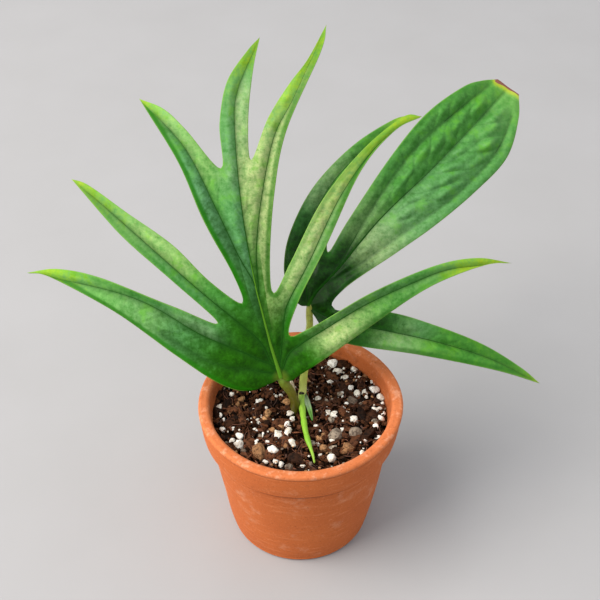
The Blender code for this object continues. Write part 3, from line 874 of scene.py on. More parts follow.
@dataclass
class PottingMix:
    """The mix in the pot: a rough dark bed with loose bark, coir, perlite, pumice and stones on it.

    The surface drops by edge_drop over the radii of drop_range, and its swell fades over those of
    swell_range. The bed lies bed_dip under the surface. crumbs holds the depth, wavelength and seed
    of each relief on it, wall_top and bottom say where its side starts and ends. Grains have their
    centres within scatter_radius and end within wall_radius. clear holds spots that stay free for
    the plant, as x, y and width. The strands start within the first of strand_radii and stay within
    the second, and a tuft of them lies at tuft_place.
    """

    height: float = 58.0
    edge_drop: float = 1.0
    drop_range: Pair = (31.0, 35.0)
    swell: float = 0.7
    swell_range: Pair = (20.0, 28.0)
    bed_radius: float = 35.2
    bed_dip: float = 1.1
    crumbs: tuple[tuple[float, float, int], ...] = ((0.5, 8.0, 31), (0.6, 3.0, 32), (0.35, 1.4, 33))
    wall_top: float = 55.0
    bottom: Pair = (24.2, 5.4)
    scatter_radius: float = 34.6
    wall_radius: float = 34.9
    seed: int = 20
    strands: int = 260
    strand_radii: Pair = (33.0, 33.8)
    strand_seed: int = 77
    tuft: int = 14
    tuft_place: Pair = (9.5, 1.4)
    clear: list[Triple] = field(default_factory=list)
    kinds: list[GrainKind] = field(default_factory=list)

    def top(self, x: Array, y: Array) -> Array:
        """Height of the surface: the bed's level plus a low swell that dies out towards the wall.

        The swell is swell x sin(x / 7 + 0.6) x cos(y / 9 - 0.4), faded between the two radii.
        """
        reach = np.hypot(x, y)
        wave = self.swell * np.sin(x / 7.0 + 0.6) * np.cos(y / 9.0 - 0.4)
        drop = self.edge_drop * ease(reach, *self.drop_range)
        return self.height + wave * (1 - ease(reach, *self.swell_range)) - drop

    def build_bed(self) -> None:
        """The bed: a polar grid whose top follows the surface with crumbs of several sizes.

        A point is (r cos a, r sin a, top - bed_dip + relief), with the relief a sum of the crumbs'
        random waves. The last rows go down the wall and across the bottom.
        """
        rings, steps = 100, 300
        radius = np.linspace(0, self.bed_radius, rings)[:, None]
        turn = np.linspace(0, math.tau, steps, endpoint=False)[None, :]
        x, y = radius * np.cos(turn), radius * np.sin(turn)
        flat = stacked(x, y)
        rough = sum(depth * relief(flat, length, seed) for depth, length, seed in self.crumbs)
        inner = ease((self.bed_radius - radius) / 1.5)
        surface = stacked(x, y, self.top(x, y) - self.bed_dip + rough * inner)
        wall = np.linspace(0, 1, 8)[1:, None]
        across = np.linspace(1, 0, 5)[1:, None]
        under = np.vstack([
            self.bed_radius + (self.bottom[0] - self.bed_radius) * wall, across * self.bottom[0],
        ])
        level = np.vstack([
            self.wall_top + (self.bottom[1] - self.wall_top) * wall, np.full(across.shape, self.bottom[1]),
        ])
        places = np.concatenate([surface, stacked(under * np.cos(turn), under * np.sin(turn), level)])
        tint = 0.5 + 0.5 * relief(places[..., :2], 4.0, 35)
        faces = grid_faces(len(places), steps, around=True)
        settle(mesh_piece("soil_bed", places, faces, [PEAT], {Mark.TINT: tint}, weld=True), Slot.MIX, "soil")

    def scatter(self) -> list[Array]:
        """Places for every kind of grain, in order, clear of the plant and of each other.

        Each grain has up to twelve tries. Its width is the least one plus the kind's range times a
        random share to the power 1.8, so that small grains are the more common.

        Returns:
            For each kind, rows of x, y and width.
        """
        rng = np.random.default_rng(self.seed)
        taken = np.array(self.clear, dtype=float).reshape(-1, 3)
        found = []
        for kind in self.kinds:
            rows = list(np.array(kind.placed, dtype=float).reshape(-1, 3))
            taken = np.vstack([taken, *rows]) if rows else taken
            wanted = kind.count + len(rows)
            for _ in range(kind.count * 12):
                if len(rows) >= wanted:
                    break
                reach, turn = self.scatter_radius * math.sqrt(rng.random()), rng.uniform(0, math.tau)
                width = kind.sizes[0] + (kind.sizes[1] - kind.sizes[0]) * rng.random() ** 1.8
                spot = np.array([reach * math.cos(turn), reach * math.sin(turn), width])
                gap = np.hypot(*(taken[:, :2] - spot[:2]).T) - 0.5 * (taken[:, 2] + width) * kind.apart
                if reach + 0.5 * width < self.wall_radius and gap.min() > 0:
                    rows.append(spot)
                    taken = np.vstack([taken, spot])
            found.append(np.array(rows))
        return found

    def build_kind(self, kind: GrainKind, spots: Array, seed: int) -> None:
        """All grains of one kind as one mesh.

        A grain's point is centre + turn . (size x direction x reach). The reach is the least of
        depth / (direction . normal) over twelve random flat faces, mixed with 1 by the share of
        facets, times (1 + lumps x relief), where the relief sums five waves of the direction.

        Args:
            kind: The kind of grain.
            spots: Rows of x, y and width.
            seed: The seed for the grains' turns, stretches and reliefs.
        """
        rng = np.random.default_rng(seed)
        count, cuts, waves = len(spots), 12, 5
        down = np.linspace(0, math.pi, kind.rings + 1)[:, None]
        turn = np.linspace(0, math.tau, kind.sides, endpoint=False)[None, :]
        ball = stacked(np.sin(down) * np.cos(turn), np.sin(down) * np.sin(turn), np.cos(down))
        normal = rng.normal(size=(count, cuts, 3))
        normal /= np.linalg.norm(normal, axis=-1, keepdims=True)
        toward = np.einsum("rsk,npk->nprs", ball, normal)
        depth = rng.uniform(0.7, 1.0, (count, cuts, 1, 1))
        cut = np.minimum((depth / np.maximum(toward, 0.2)).min(axis=1), 1.25)
        way = rng.normal(size=(count, waves, 3)) * 2.2
        phase = rng.uniform(0, math.tau, (count, waves, 1, 1))
        bumps = np.sin(np.einsum("rsk,nwk->nwrs", ball, way) + phase).sum(axis=1) / 2.2
        reach = (1 + kind.facets * (cut - 1)) * (1 + kind.lumps * bumps)
        zero, one = np.zeros(count), np.ones(count)
        stretch = np.stack([rng.uniform(*kind.long, count), one, rng.uniform(*kind.tall, count)], axis=1)
        size = spots[:, 2:3] / 2 * stretch
        grains = ball[None] * reach[..., None] * size[:, None, None, :]
        spin, lean = rng.uniform(0, math.tau, count), rng.uniform(-0.6, 0.6, count)
        tip = np.array([
            [one, zero, zero], [zero, np.cos(lean), -np.sin(lean)], [zero, np.sin(lean), np.cos(lean)],
        ])
        yaw = np.array([
            [np.cos(spin), -np.sin(spin), zero], [np.sin(spin), np.cos(spin), zero], [zero, zero, one],
        ])
        turned = np.einsum("abn,bcn,nrsc->nrsa", yaw, tip, grains)
        x, y = spots[:, 0], spots[:, 1]
        centre = stacked(x, y, self.top(x, y) + rng.uniform(*kind.sunk, count) * spots[:, 2])
        stride = (kind.rings + 1) * kind.sides
        faces = repeated(grid_faces(kind.rings + 1, kind.sides, around=True)[:, ::-1], count, stride)
        values = {Mark.TINT: np.repeat(rng.random(count), stride)}
        places = turned + centre[:, None, None, :]
        piece = mesh_piece(kind.name, places, faces, [kind.finish], values, weld=True, sharp=kind.sharp)
        settle(piece, Slot.MIX)

    def build_fibres(self) -> None:
        """Coir: thin curled strands that lie over the bed, and one tuft of them beside the sheath.

        A strand is a tube along a path whose middle lies at a random place. It runs level in a random
        direction, bends sideways with the square of the run and arches up between its ends.
        """
        rng = np.random.default_rng(self.strand_seed)
        count, tuft, steps, sides = self.strands, self.tuft, 9, 5
        start, edge = self.strand_radii
        reach, turn = start * np.sqrt(rng.random(count)), rng.uniform(0, math.tau, count)
        heading, length = rng.uniform(0, math.tau, count), 2.0 + 6.0 * rng.random(count) ** 1.5
        middle_x, middle_y = reach * np.cos(turn), reach * np.sin(turn)
        # The tuft's strands all start near one place.
        length[:tuft] = rng.uniform(3.0, 6.0, tuft)
        middle_x[:tuft] = self.tuft_place[0] + 0.4 * length[:tuft] * np.cos(heading[:tuft])
        middle_y[:tuft] = self.tuft_place[1] + 0.4 * length[:tuft] * np.sin(heading[:tuft])
        share = np.linspace(0, 1, steps)[None, :]
        run = (share - 0.5) * length[:, None]
        bend = rng.uniform(-0.5, 0.5, count)[:, None] * (share - 0.5) ** 2 * 2 * length[:, None]
        along, aside = np.cos(heading)[:, None], np.sin(heading)[:, None]
        x = middle_x[:, None] + run * along - bend * aside
        y = middle_y[:, None] + run * aside + bend * along
        stay = edge / np.maximum(np.hypot(x, y), edge)
        x, y = x * stay, y * stay
        arch = rng.uniform(0.2, 1.0, count)[:, None] * np.sin(math.pi * share)
        path = stacked(x, y, self.top(x, y) + 0.2 + arch + rng.uniform(-0.4, 0.5, count)[:, None])
        radii = rng.uniform(0.1, 0.2, count)[:, None] * np.sin(math.pi * (0.06 + 0.88 * share)) ** 0.5
        radii[:, [0, -1]] = 0.0
        places = tube(path, radii, sides, np.array([0.0, 0.0, 1.0]))
        faces = repeated(grid_faces(steps, sides, around=True), count, steps * sides)
        values = {Mark.TINT: np.repeat(rng.random(count), steps * sides)}
        settle(mesh_piece("coir_strands", places, faces, [COIR], values, weld=True), Slot.MIX)

    def build(self) -> None:
        """The bed, every kind of grain and the coir."""
        self.build_bed()
        for number, (kind, spots) in enumerate(zip(self.kinds, self.scatter())):
            self.build_kind(kind, spots, seed=100 + number)
        self.build_fibres()


# Damp peat and bark dust: nearly black, dull, with a fine crumb.
PEAT = LooseGrain(
    name="damp_peat", roughness=0.92, specular=0.05, light="#28160b", dark="#0b0502", pit_shade_and_dust="#050201",
    pit_size=1.1, pit_most=0.8, pit_depth=0.5,
)
# Coconut coir: dry, reddish-brown strands with a slight sheen.
COIR = LooseGrain(
    name="coconut_coir", roughness=0.7, light="#7d4526", dark="#2e170b", pit_shade_and_dust="#1c0f07", pit_size=1.5,
    pit_depth=0.05,
)
# Perlite, puffed volcanic glass: chalk white, matt, with small pits and a little brown dust.
PERLITE = LooseGrain(
    name="perlite", roughness=0.9, specular=0.25, light="#f3f0e9", dark="#ddd6c9", pit_shade_and_dust="#97826a",
    pit_size=0.9, pit_depth=0.35,
)
# Pumice: tan volcanic froth, full of holes.
PUMICE = LooseGrain(
    name="tan_pumice", roughness=0.92, specular=0.25, light="#c39264", dark="#86603f", pit_shade_and_dust="#2c190e",
    pit_size=0.9, pit_most=0.7, pit_depth=0.45,
)
# Lava and river stone: grey-brown, finely speckled.
STONE = LooseGrain(
    name="grey_brown_stone", roughness=0.8, specular=0.35, light="#a29482", dark="#5c4a3c", pit_shade_and_dust="#22160f",
    pit_size=0.9, pit_most=0.75, pit_depth=0.35,
)
# Orchid bark: flat dark chips with a dull damp surface.
BARK = LooseGrain(
    name="damp_orchid_bark", roughness=0.75, specular=0.1, light="#684029", dark="#160a04", pit_shade_and_dust="#090402",
    pit_size=1.3, pit_most=0.8, pit_depth=0.4,
)
# Crumbs of peat and broken bark that fill the spaces.
CRUMB = LooseGrain(
    name="peat_crumbs", roughness=0.85, specular=0.06, light="#623c26", dark="#0d0502", pit_shade_and_dust="#060301",
    pit_size=0.8, pit_most=0.7, pit_depth=0.25,
)

PLACED_PERLITE: tuple[Triple, ...] = (
    (13.5, 27.5, 4.3), (15.5, 22.5, 3.2), (18.0, 19.0, 2.4), (12.5, 16.0, 2.8), (22.5, 24.0, 3.2),
    (20.5, 13.0, 2.8), (23.0, 10.0, 2.8), (26.0, 11.0, 2.3), (30.0, 12.0, 4.2), (32.0, 8.0, 3.0),
    (29.5, 18.0, 2.0), (26.5, 8.0, 1.6), (7.0, 6.0, 2.4), (13.5, -2.0, 3.2), (21.0, -4.0, 3.6),
    (29.5, 1.0, 2.4), (31.5, 1.5, 1.9), (33.0, -0.5, 2.0), (32.0, -3.5, 2.8), (29.5, -8.0, 2.3),
    (30.0, -13.0, 1.9), (25.0, -15.5, 1.6), (6.5, -8.0, 2.4), (12.0, -24.5, 4.0), (23.5, -21.5, 2.0),
    (12.5, -14.5, 2.4), (-3.0, -16.5, 3.2), (-8.5, -12.5, 3.6), (-5.0, -11.0, 3.4), (-5.0, -6.5, 2.4),
    (-3.0, -4.0, 2.3), (-4.0, -1.0, 2.4), (-23.0, -13.5, 3.2), (-23.5, -17.5, 3.8), (-10.5, -20.5, 4.0),
    (-17.0, -16.5, 2.4), (-30.0, -9.0, 2.8), (-31.5, 3.0, 2.8), (-31.5, -2.0, 2.0), (-30.0, -4.0, 1.6),
    (-27.5, 9.5, 2.4), (-16.0, 6.0, 3.6), (-7.5, 9.0, 2.0), (-7.0, -27.5, 2.8), (1.0, -28.0, 2.0),
    (-13.0, -26.0, 1.6), (-16.5, -5.5, 2.0), (-12.5, -16.5, 1.6), (-28.5, 14.0, 1.6), (3.0, -3.0, 1.6),
)
PLACED_PUMICE: tuple[Triple, ...] = (
    (-24.5, 4.5, 2.4), (-12.8, -0.3, 3.0), (-15.4, -21.5, 5.8), (-5.4, 5.2, 2.8), (7.5, -14.1, 3.0),
    (9.0, -18.7, 3.8), (18.1, -20.0, 5.2), (-13.3, -4.0, 2.6), (-10.8, -9.4, 2.6), (-17.5, -3.0, 2.0),
)
PLACED_STONES: tuple[Triple, ...] = (
    (13.7, -12.6, 7.4), (21.2, -11.5, 4.6), (12.4, -19.2, 3.6), (-4.3, -28.7, 3.2), (20.7, 5.8, 4.6),
    (16.0, 9.5, 2.4),
)

GRAIN_KINDS = [
    GrainKind(
        "perlite_grains", PERLITE, 30, (1.3, 2.8), lumps=0.22, facets=0.75, rings=9, sides=12,
        sunk=(-0.02, 0.2), placed=PLACED_PERLITE, sharp=False,
    ),
    GrainKind("pumice_grains", PUMICE, 26, (1.2, 3.0), lumps=0.22, rings=8, sides=11, placed=PLACED_PUMICE),
    GrainKind(
        "stone_grains", STONE, 24, (1.2, 3.0), tall=(0.6, 0.9), rings=8, sides=11, placed=PLACED_STONES,
    ),
    GrainKind(
        "bark_chips", BARK, 230, (1.6, 4.6), long=(1.0, 2.2), tall=(0.3, 0.6), lumps=0.2, facets=1.0,
        apart=0.55,
    ),
    GrainKind(
        "wood_slivers", COIR, 110, (0.5, 1.0), long=(2.5, 5.0), tall=(0.5, 0.8), lumps=0.1, facets=0.9,
        rings=5, sides=6, sunk=(0.2, 0.9), apart=0.4,
    ),
    GrainKind(
        "peat_crumbs", CRUMB, 1500, (0.7, 2.0), long=(0.8, 1.9), tall=(0.5, 1.0), lumps=0.25, facets=1.0,
        rings=5, sides=6, sunk=(-0.2, 0.4), apart=0.42,
    ),
    *(
        GrainKind(
            name, finish, count, sizes, long=(0.8, 1.4), tall=(0.7, 1.0), lumps=0.15, facets=0.7,
            rings=4, sides=6, sunk=(0.2, 0.7), apart=0.3,
        )
        for name, finish, count, sizes in (
            ("perlite_crumbs", PERLITE, 130, (0.4, 1.1)), ("pumice_crumbs", PUMICE, 90, (0.5, 1.2)),
        )
    ),
]


# The leaves


@dataclass
class Notch:
    """The open notch between two fingers, in millimetres on the flat blade.

    down runs from the tip of one finger to the notch, up from the notch to the tip of the next.
    leave is the angle in degrees at which the seam between the two leaves the blade's foot.
    """

    down: list[Pair]
    place: Pair
    up: list[Pair]
    leave: float

    def seam(self, count: int) -> Array:
        """Points from the foot to the notch, leaving at one angle and turning to the notch's own."""
        reach = math.hypot(*self.place)
        end = math.atan2(self.place[1], self.place[0])
        share = np.linspace(0, 1, count)
        angle = end + (math.radians(self.leave) - end) * (1 - share)
        return np.stack([reach * share * np.cos(angle), reach * share * np.sin(angle)], axis=1)

    def edges(self, rows: int) -> tuple[Array, Array, int]:
        """The edges of the two fingers beside the notch, from foot to tip, and the notch's row."""
        seam_length = math.hypot(*self.place)
        edge_length = (curve_length([*self.down, self.place]) + curve_length([self.place, *self.up])) / 2
        row = round(rows * seam_length / (seam_length + edge_length))
        count = rows - row + 1
        whole = smooth_curve([*self.down, self.place, *self.up], 400)
        split = int(np.argmin(np.linalg.norm(whole - np.array(self.place), axis=1)))
        before = smooth_curve(whole[: split + 1][::-1], count)
        after = smooth_curve(whole[split:], count)
        inner = self.seam(row + 1)
        return np.vstack([inner, before[1:]]), np.vstack([inner, after[1:]]), row


@dataclass
class Side:
    """The tints of one side of a finger, each as pairs of share along its vein and strength.

    tone runs from 0, the dark green of the palm, to 1, the yellow-green of a tip; pale is the cream
    mottling together with painted highlights, cool_sheen a grey-green painted sheen beside a vein,
    and margin the strength of the plain green edge, which also carries painted shade where the edge
    turns down.
    """

    tone: list[Pair]
    pale: list[Pair] = field(default_factory=lambda: [(0, 0)])
    cool_sheen: list[Pair] = field(default_factory=lambda: [(0, 0)])
    margin: float = 0.4


@dataclass
class Finger:
    """A finger of a blade: its main vein, how far its tip bends forward, and its two sides."""

    vein: list[Pair]
    curl: float
    left: Side
    right: Side
    columns: int = 13

    def vein_line(self) -> Array:
        """Points close together along the main vein."""
        return smooth_curve(self.vein, 50)


@dataclass
class LeafBlade:
    """A lobed blade: a flat outline that is arched, folded and quilted, with a top and an underside.

    foot is where the stalk meets the blade and tilt its slope above level. across and along are the
    arching radii, fold and reach the shallow V along the middle. first and last are the edges from
    the foot to the first and the last tip, and main is the number of the finger with the midrib.

    A vein lies in a groove of that depth and width, beside which the tissue rises by pleat. Between
    side veins, spacing apart, it rises by quilt at most, from none at the first share of a finger's
    length in quilt_share to all of it at the second. The side veins lean forward by lean
    millimetres for each one outwards, and the blisters between them are blister long.

    lobe_fold is the rise of a finger's own V, edge_wave the height of the waves at its edge and
    waves_per_lobe their number. The wall thins to edge_share of its thickness over the last
    edge_width. palm_tone is the tone of the palm, which the fingers' own tones take over from
    between the radii in palm. Along the line cut_tip the blade has been cut off and has dried. The
    midrib is lime up to lime_reach, and the sizes of the veins' cords are told with build_veins.
    """

    name: str
    cad_node: str
    top: LivingBlade
    foot: Triple
    tilt: float
    across: float
    along: float
    fold: float
    reach: float
    first: list[Pair]
    notches: list[Notch]
    last: list[Pair]
    fingers: list[Finger]
    main: int
    minor_veins: list[list[Pair]]
    lime_reach: float
    quilt: float = 0.2
    quilt_share: Pair = (0.1, 0.3)
    spacing: float = 8.0
    blister: float = 7.0
    lean: float = 1.5
    groove: float = 0.45
    groove_width: float = 1.5
    pleat: float = 0.7
    cut_tip: list[Pair] = field(default_factory=list)
    palm: Pair = (9.0, 30.0)
    palm_tone: float = 0.12
    rows: int = 112
    thickness: float = 0.55
    edge_share: float = 0.45
    edge_width: float = 1.6
    edge_wave: float = 0.9
    waves_per_lobe: float = 1.6
    lobe_fold: float = 0.16
    midrib: float = 0.75
    vein_foot: float = 0.18
    vein_taper: float = 22.0
    vein_end: float = 0.17
    underside: LeafUnderside = LeafUnderside(name="leaf_underside", roughness=0.62, ior=1.45, specular=0.3)
    vein_skin: VeinSkin = VeinSkin(name="leaf_veins", roughness=0.6, ior=1.45, specular=0.03)

    def normal(self) -> Array:
        """The direction at right angles to the flat blade, out of its upper side."""
        slope = math.radians(self.tilt)
        return np.array([0.0, -math.sin(slope), math.cos(slope)])

    def place(self, flat: Array, lift: Array) -> Array:
        """Points in space of points on the flat blade.

        With s across and t up the blade, a point is foot + s X + t U + h N, where X is sideways, U
        goes up the slope and N is at right angles to it. The height h is the arch, minus s squared
        over twice the across radius and t squared over twice the along one, plus the V fold, fold
        times the root of (s squared + 4) times exp(-(s / reach) squared), plus the lift.

        Args:
            flat: Points on the flat blade, as (..., 2).
            lift: Their heights above it.

        Returns:
            Points as (..., 3).
        """
        s, t = flat[..., 0], flat[..., 1]
        slope = math.radians(self.tilt)
        up = np.array([0.0, math.cos(slope), math.sin(slope)])
        arch = -(s**2 / (2 * self.across) + t**2 / (2 * self.along))
        crease = self.fold * np.sqrt(s**2 + 4.0) * np.exp(-((s / self.reach) ** 2))
        height = (arch + crease + lift)[..., None]
        sideways = np.array([1.0, 0.0, 0.0])
        return np.array(self.foot) + s[..., None] * sideways + t[..., None] * up + height * self.normal()

    def behind(self, run: float, depth: float) -> Triple:
        """A point under the blade's midrib, at a run along it from the foot and a depth behind it."""
        midrib = smooth_curve(self.fingers[self.main].vein, 60)
        spot = [np.interp(run, run_along(midrib), midrib[:, axis]) for axis in (0, 1)]
        return tuple(self.place(np.array(spot), np.array(-depth)))

    def outlines(self) -> list[tuple[Array, int, Array, int]]:
        """For each finger its left edge, that edge's notch row, its right edge and that one's row."""
        left, right = [(smooth_curve(self.first, self.rows + 1), 0)], []
        for notch in self.notches:
            before, after, row = notch.edges(self.rows)
            right.append((before, row))
            left.append((after, row))
        right.append((smooth_curve(self.last, self.rows + 1), 0))
        return [(*a, *b) for a, b in zip(left, right)]

    def vein_share(self, vein: Array, edge_a: Array, edge_b: Array) -> Array:
        """How far across each row of a finger its main vein lies, from 0.08 to 0.92.

        The vein is drawn out straight past both ends, and the share is moved by the place's signed
        distance from it over the row's width, six times.
        """
        back, on = vein[0] - vein[2], vein[-1] - vein[-3]
        out = np.vstack([
            vein[:1] + 200 * back / np.linalg.norm(back), vein, vein[-1:] + 200 * on / np.linalg.norm(on),
        ])
        width = np.linalg.norm(edge_a - edge_b, axis=1) + 0.3
        share = np.full(len(edge_a), 0.5)
        for _ in range(6):
            spot = edge_a * (1 - share[:, None]) + edge_b * share[:, None]
            share = np.clip(share + beside(out, spot)[1] / width, 0.08, 0.92)
        return share

    def tints(self, number: int, left: bool, flat: Array) -> Array:
        """Tone, pale mottling with painted highlights, painted sheen and margin of places, by the profiles of
        one side of one finger.
        """
        finger = self.fingers[number]
        side = finger.left if left else finger.right
        vein = finger.vein_line()
        share = beside(vein, flat)[2] / run_along(vein)[-1]
        # The palm is one deep green, whichever finger's share of it a place belongs to.
        out = ease(np.hypot(*flat.T), *self.palm)
        tone = self.palm_tone + (profile(share, side.tone) - self.palm_tone) * out
        return stacked(tone, profile(share, side.pale) * out, profile(share, side.cool_sheen) * out, side.margin)

    def mixed_tints(self, number: int, left: bool, flat: Array) -> tuple[Array, Array]:
        """A side's tints, mixed with its neighbour's near the seam that they share.

        Args:
            number: The finger's number.
            left: Whether it is the side left of the vein.
            flat: Places on the flat blade.

        Returns:
            The tints and the distance to the seam, which is 99 mm where there is none.
        """
        tint = self.tints(number, left, flat)
        neighbour = number - 1 if left else number + 1
        if not 0 <= neighbour < len(self.fingers):
            return tint, np.full(len(flat), 99.0)
        seam_far = beside(self.notches[min(number, neighbour)].seam(30), flat)[0]
        mixed = 0.5 * (1 - ease(seam_far / 5.0))[:, None]
        return tint * (1 - mixed) + self.tints(neighbour, not left, flat) * mixed, seam_far

    def relief_at(self, flat: Array, edge: Array) -> tuple[Array, Array]:
        """The grooves at the veins and the pleats between them, and the distance to the nearest vein.

        A groove is -groove x exp(-(d / width) squared), a pleat is pleat x (1 - exp(-(d / 5) squared)),
        and slow random relief is added away from the veins. All of it dies out in the last 18 mm
        before a tip.
        """
        veins = [*(finger.vein for finger in self.fingers), *self.minor_veins]
        lines = [smooth_curve(vein, 40) for vein in veins]
        near = np.min([beside(line, flat)[0] for line in lines], axis=0)
        tips = np.array([line[-1] for line in lines[: len(self.fingers)]])
        groove = -self.groove * np.exp(-((near / self.groove_width) ** 2))
        pleat = self.pleat * (1 - np.exp(-((near / 5.0) ** 2))) * ease(edge / 3.0)
        slow = 0.25 * relief(flat, 9.0, 6) * ease(near / 3.0) * ease(edge / 3.0)
        return (groove + pleat + slow) * ease(far_from(flat, tips) / 18.0), near

    def lobe_lift(self, number: int, left: bool, outline: tuple, across: Array) -> Array:
        """A finger's lift over the blade's arch: its own V, the waves of its edge, its bent tip.

        The V is lobe_fold x half width x |v| to the power 1.5, with v from -1 to 1 across the
        finger. The waves are edge_wave x a sine along the finger x v squared. Both start at the
        notch. The bend is curl x the square of the share of the way from the last notch to the tip.

        Args:
            number: The finger's number.
            left: Whether it is the side left of the vein.
            outline: The finger's edges and their notch rows.
            across: The values of v in a row of the grid.

        Returns:
            The lift of each point of the grid.
        """
        edge_a, row_a, edge_b, row_b = outline
        along = np.linspace(0, 1, self.rows + 1)[:, None]
        free = ease((along - (row_a if left else row_b) / self.rows) / 0.25)
        half_width = np.linalg.norm(edge_a - edge_b, axis=1)[:, None] / 2
        rise = self.lobe_fold * half_width * np.abs(across) ** 1.5 * free
        ripple = np.sin(math.tau * (self.waves_per_lobe * along + 0.31 * number + 0.2 * across))
        wave = self.edge_wave * ripple * across**2 * free * (1 - along**3)
        last_row = max(row_a, row_b)
        beyond = np.clip((along * self.rows - last_row) / (self.rows - last_row), 0, 1)
        return rise + wave + self.fingers[number].curl * beyond**2

    def quilting(
        self, vein: Array, flat: Array, near: Array, edge: Array, seam_far: Array
    ) -> tuple[Array, Array, Array]:
        """The side veins of a finger and the blisters between them.

        The phase counts side veins: (run - lean x distance + 1.1 x relief) / spacing. A blister is
        0.9 x (0.55 + 0.45 x a sine of the distance) x (1 - |2 part - 1| to the power 2.2) + 0.25 x
        relief, with part the phase's fraction, all times 1 - exp(-(near / 2.8) squared).

        Args:
            vein: Points of the main vein.
            flat: Places on the flat blade.
            near: Their distances to the nearest main or minor vein.
            edge: Their distances to the free edge.
            seam_far: Their distances to the seam with the next finger.

        Returns:
            The phase, how strong the side veins are, and the rise.
        """
        distance, _, run = beside(vein, flat)
        length = run_along(vein)[-1]
        phase = (run - self.lean * distance + 1.1 * relief(flat, 13.0, 5)) / self.spacing
        part = phase - np.floor(phase)
        blister = 0.55 + 0.45 * np.sin(math.tau * (distance / self.blister + 0.38 * np.floor(phase)))
        strength = ease(run / length, *self.quilt_share) * ease((length - run) / 20.0)
        strength = strength * ease(seam_far / 3.0) * ease(edge, 1.5, 5.0)
        pillow = 0.9 * blister * (1 - np.abs(2 * part - 1) ** 2.2) + 0.25 * relief(flat, 8.0, 8)
        bulge = pillow * (1 - np.exp(-((near / 2.8) ** 2)))
        return phase, strength, self.quilt * bulge * strength

    def build_side(
        self, number: int, left: bool, outline: tuple, rims: Array
    ) -> tuple[Array, Array, Array, Array]:
        """One side of a finger, as a grid between its edge and its main vein.

        Args:
            number: The finger's number.
            left: Whether it is the side left of the vein.
            outline: The finger's edges and their notch rows.
            rims: Points of all free edges of the blade.

        Returns:
            The places, the values for the material, the wall's own share and the faces.
        """
        edge_a, _, edge_b, _ = outline
        finger = self.fingers[number]
        vein = finger.vein_line()
        middle = self.vein_share(vein, edge_a, edge_b)[:, None]
        step = np.linspace(0, 1, finger.columns + 1)[None, :]
        share = middle * step if left else middle + (1 - middle) * step
        grid = edge_a[:, None, :] * (1 - share[..., None]) + edge_b[:, None, :] * share[..., None]
        flat = grid.reshape(-1, 2)
        edge = far_from(flat, rims)
        fine, near = self.relief_at(flat, edge)
        tint, seam_far = self.mixed_tints(number, left, flat)
        phase, strength, raised = self.quilting(vein, flat, near, edge, seam_far)
        lobe = self.lobe_lift(number, left, outline, step - 1 if left else step)
        lift = lobe.reshape(-1) + fine + raised
        dried = np.zeros(len(flat))
        if self.cut_tip:
            at_cut = beside(np.array(self.cut_tip, dtype=float), flat)[0] + 0.4 * relief(flat, 9.0, 9)
            dried = ease(at_cut, 1.6, 0.5)
            tint[:, 0] += 0.4 * ease(at_cut, 3.6, 1.4)
        # The margin with its painted shade and the rim with its painted highlight fade out beside the stalk.
        shown_edge = edge + 2.5 * (1 - ease(np.hypot(*flat.T), 4.0, 16.0))
        values = np.concatenate([
            np.column_stack([flat * MM, 0 * near]),
            np.column_stack([near * MM, phase, strength]),
            tint[:, :3],
            np.column_stack([dried, tint[:, 3], shown_edge * MM]),
        ], axis=1)
        faces = grid_faces(self.rows + 1, finger.columns + 1)
        return self.place(flat, lift), values, ease(edge / self.edge_width), faces

    def build(self) -> None:
        """Two grids for each finger, welded along the veins and seams, then given a thickness.

        A grid's point is left edge x (1 - u) + right edge x u on the flat blade. Its lift is the
        finger's own, plus grooves, pleats and quilting.
        """
        outlines = self.outlines()
        rims = np.concatenate([np.concatenate([a[row_a:], b[row_b:]]) for a, row_a, b, row_b in outlines])
        places, values, bodies, faces, total = [], [], [], [], 0
        for number, outline in enumerate(outlines):
            for left in (True, False):
                spots, value, body, cells = self.build_side(number, left, outline, rims)
                places.append(spots)
                values.append(value)
                bodies.append(body)
                faces.append(cells + total)
                total += len(spots)
        table = np.concatenate(values)
        order = (Mark.FLAT, Mark.VEIN, Mark.PAINT, Mark.SPOT)
        marks = {mark: table[:, 3 * k : 3 * k + 3] for k, mark in enumerate(order)}
        marks[Mark.SHARE] = np.concatenate(bodies)
        blade = mesh_piece(
            self.name, np.concatenate(places), np.concatenate(faces), [self.top, self.underside], marks,
            apart=True, weld=True,
        )
        self.give_wall(blade)
        settle(blade, Slot.BLADE, self.cad_node)
        self.build_veins(rims)

    def give_wall(self, blade: bpy.types.Object) -> None:
        """Gives the blade its thickness, thinner towards the free edges, with the underside's finish."""
        mesh = blade.data
        corner_share = np.zeros(len(mesh.loops), np.float32)
        mesh.attributes[Mark.SHARE.value].data.foreach_get("value", corner_share)
        corner_point = np.zeros(len(mesh.loops), np.int32)
        mesh.loops.foreach_get("vertex_index", corner_point)
        weights = np.zeros(len(mesh.vertices), np.float32)
        weights[corner_point] = corner_share
        levels = np.round(weights * 8) / 8
        group = blade.vertex_groups.new(name="body")
        for level in np.unique(levels):
            group.add(np.flatnonzero(levels == level).tolist(), float(level), "REPLACE")
        wall = blade.modifiers.new("Wall", "SOLIDIFY")
        wall.thickness = self.thickness * MM
        wall.offset = 0.0
        wall.vertex_group = group.name
        wall.thickness_vertex_group = self.edge_share
        wall.material_offset = 1
        wall.material_offset_rim = 0

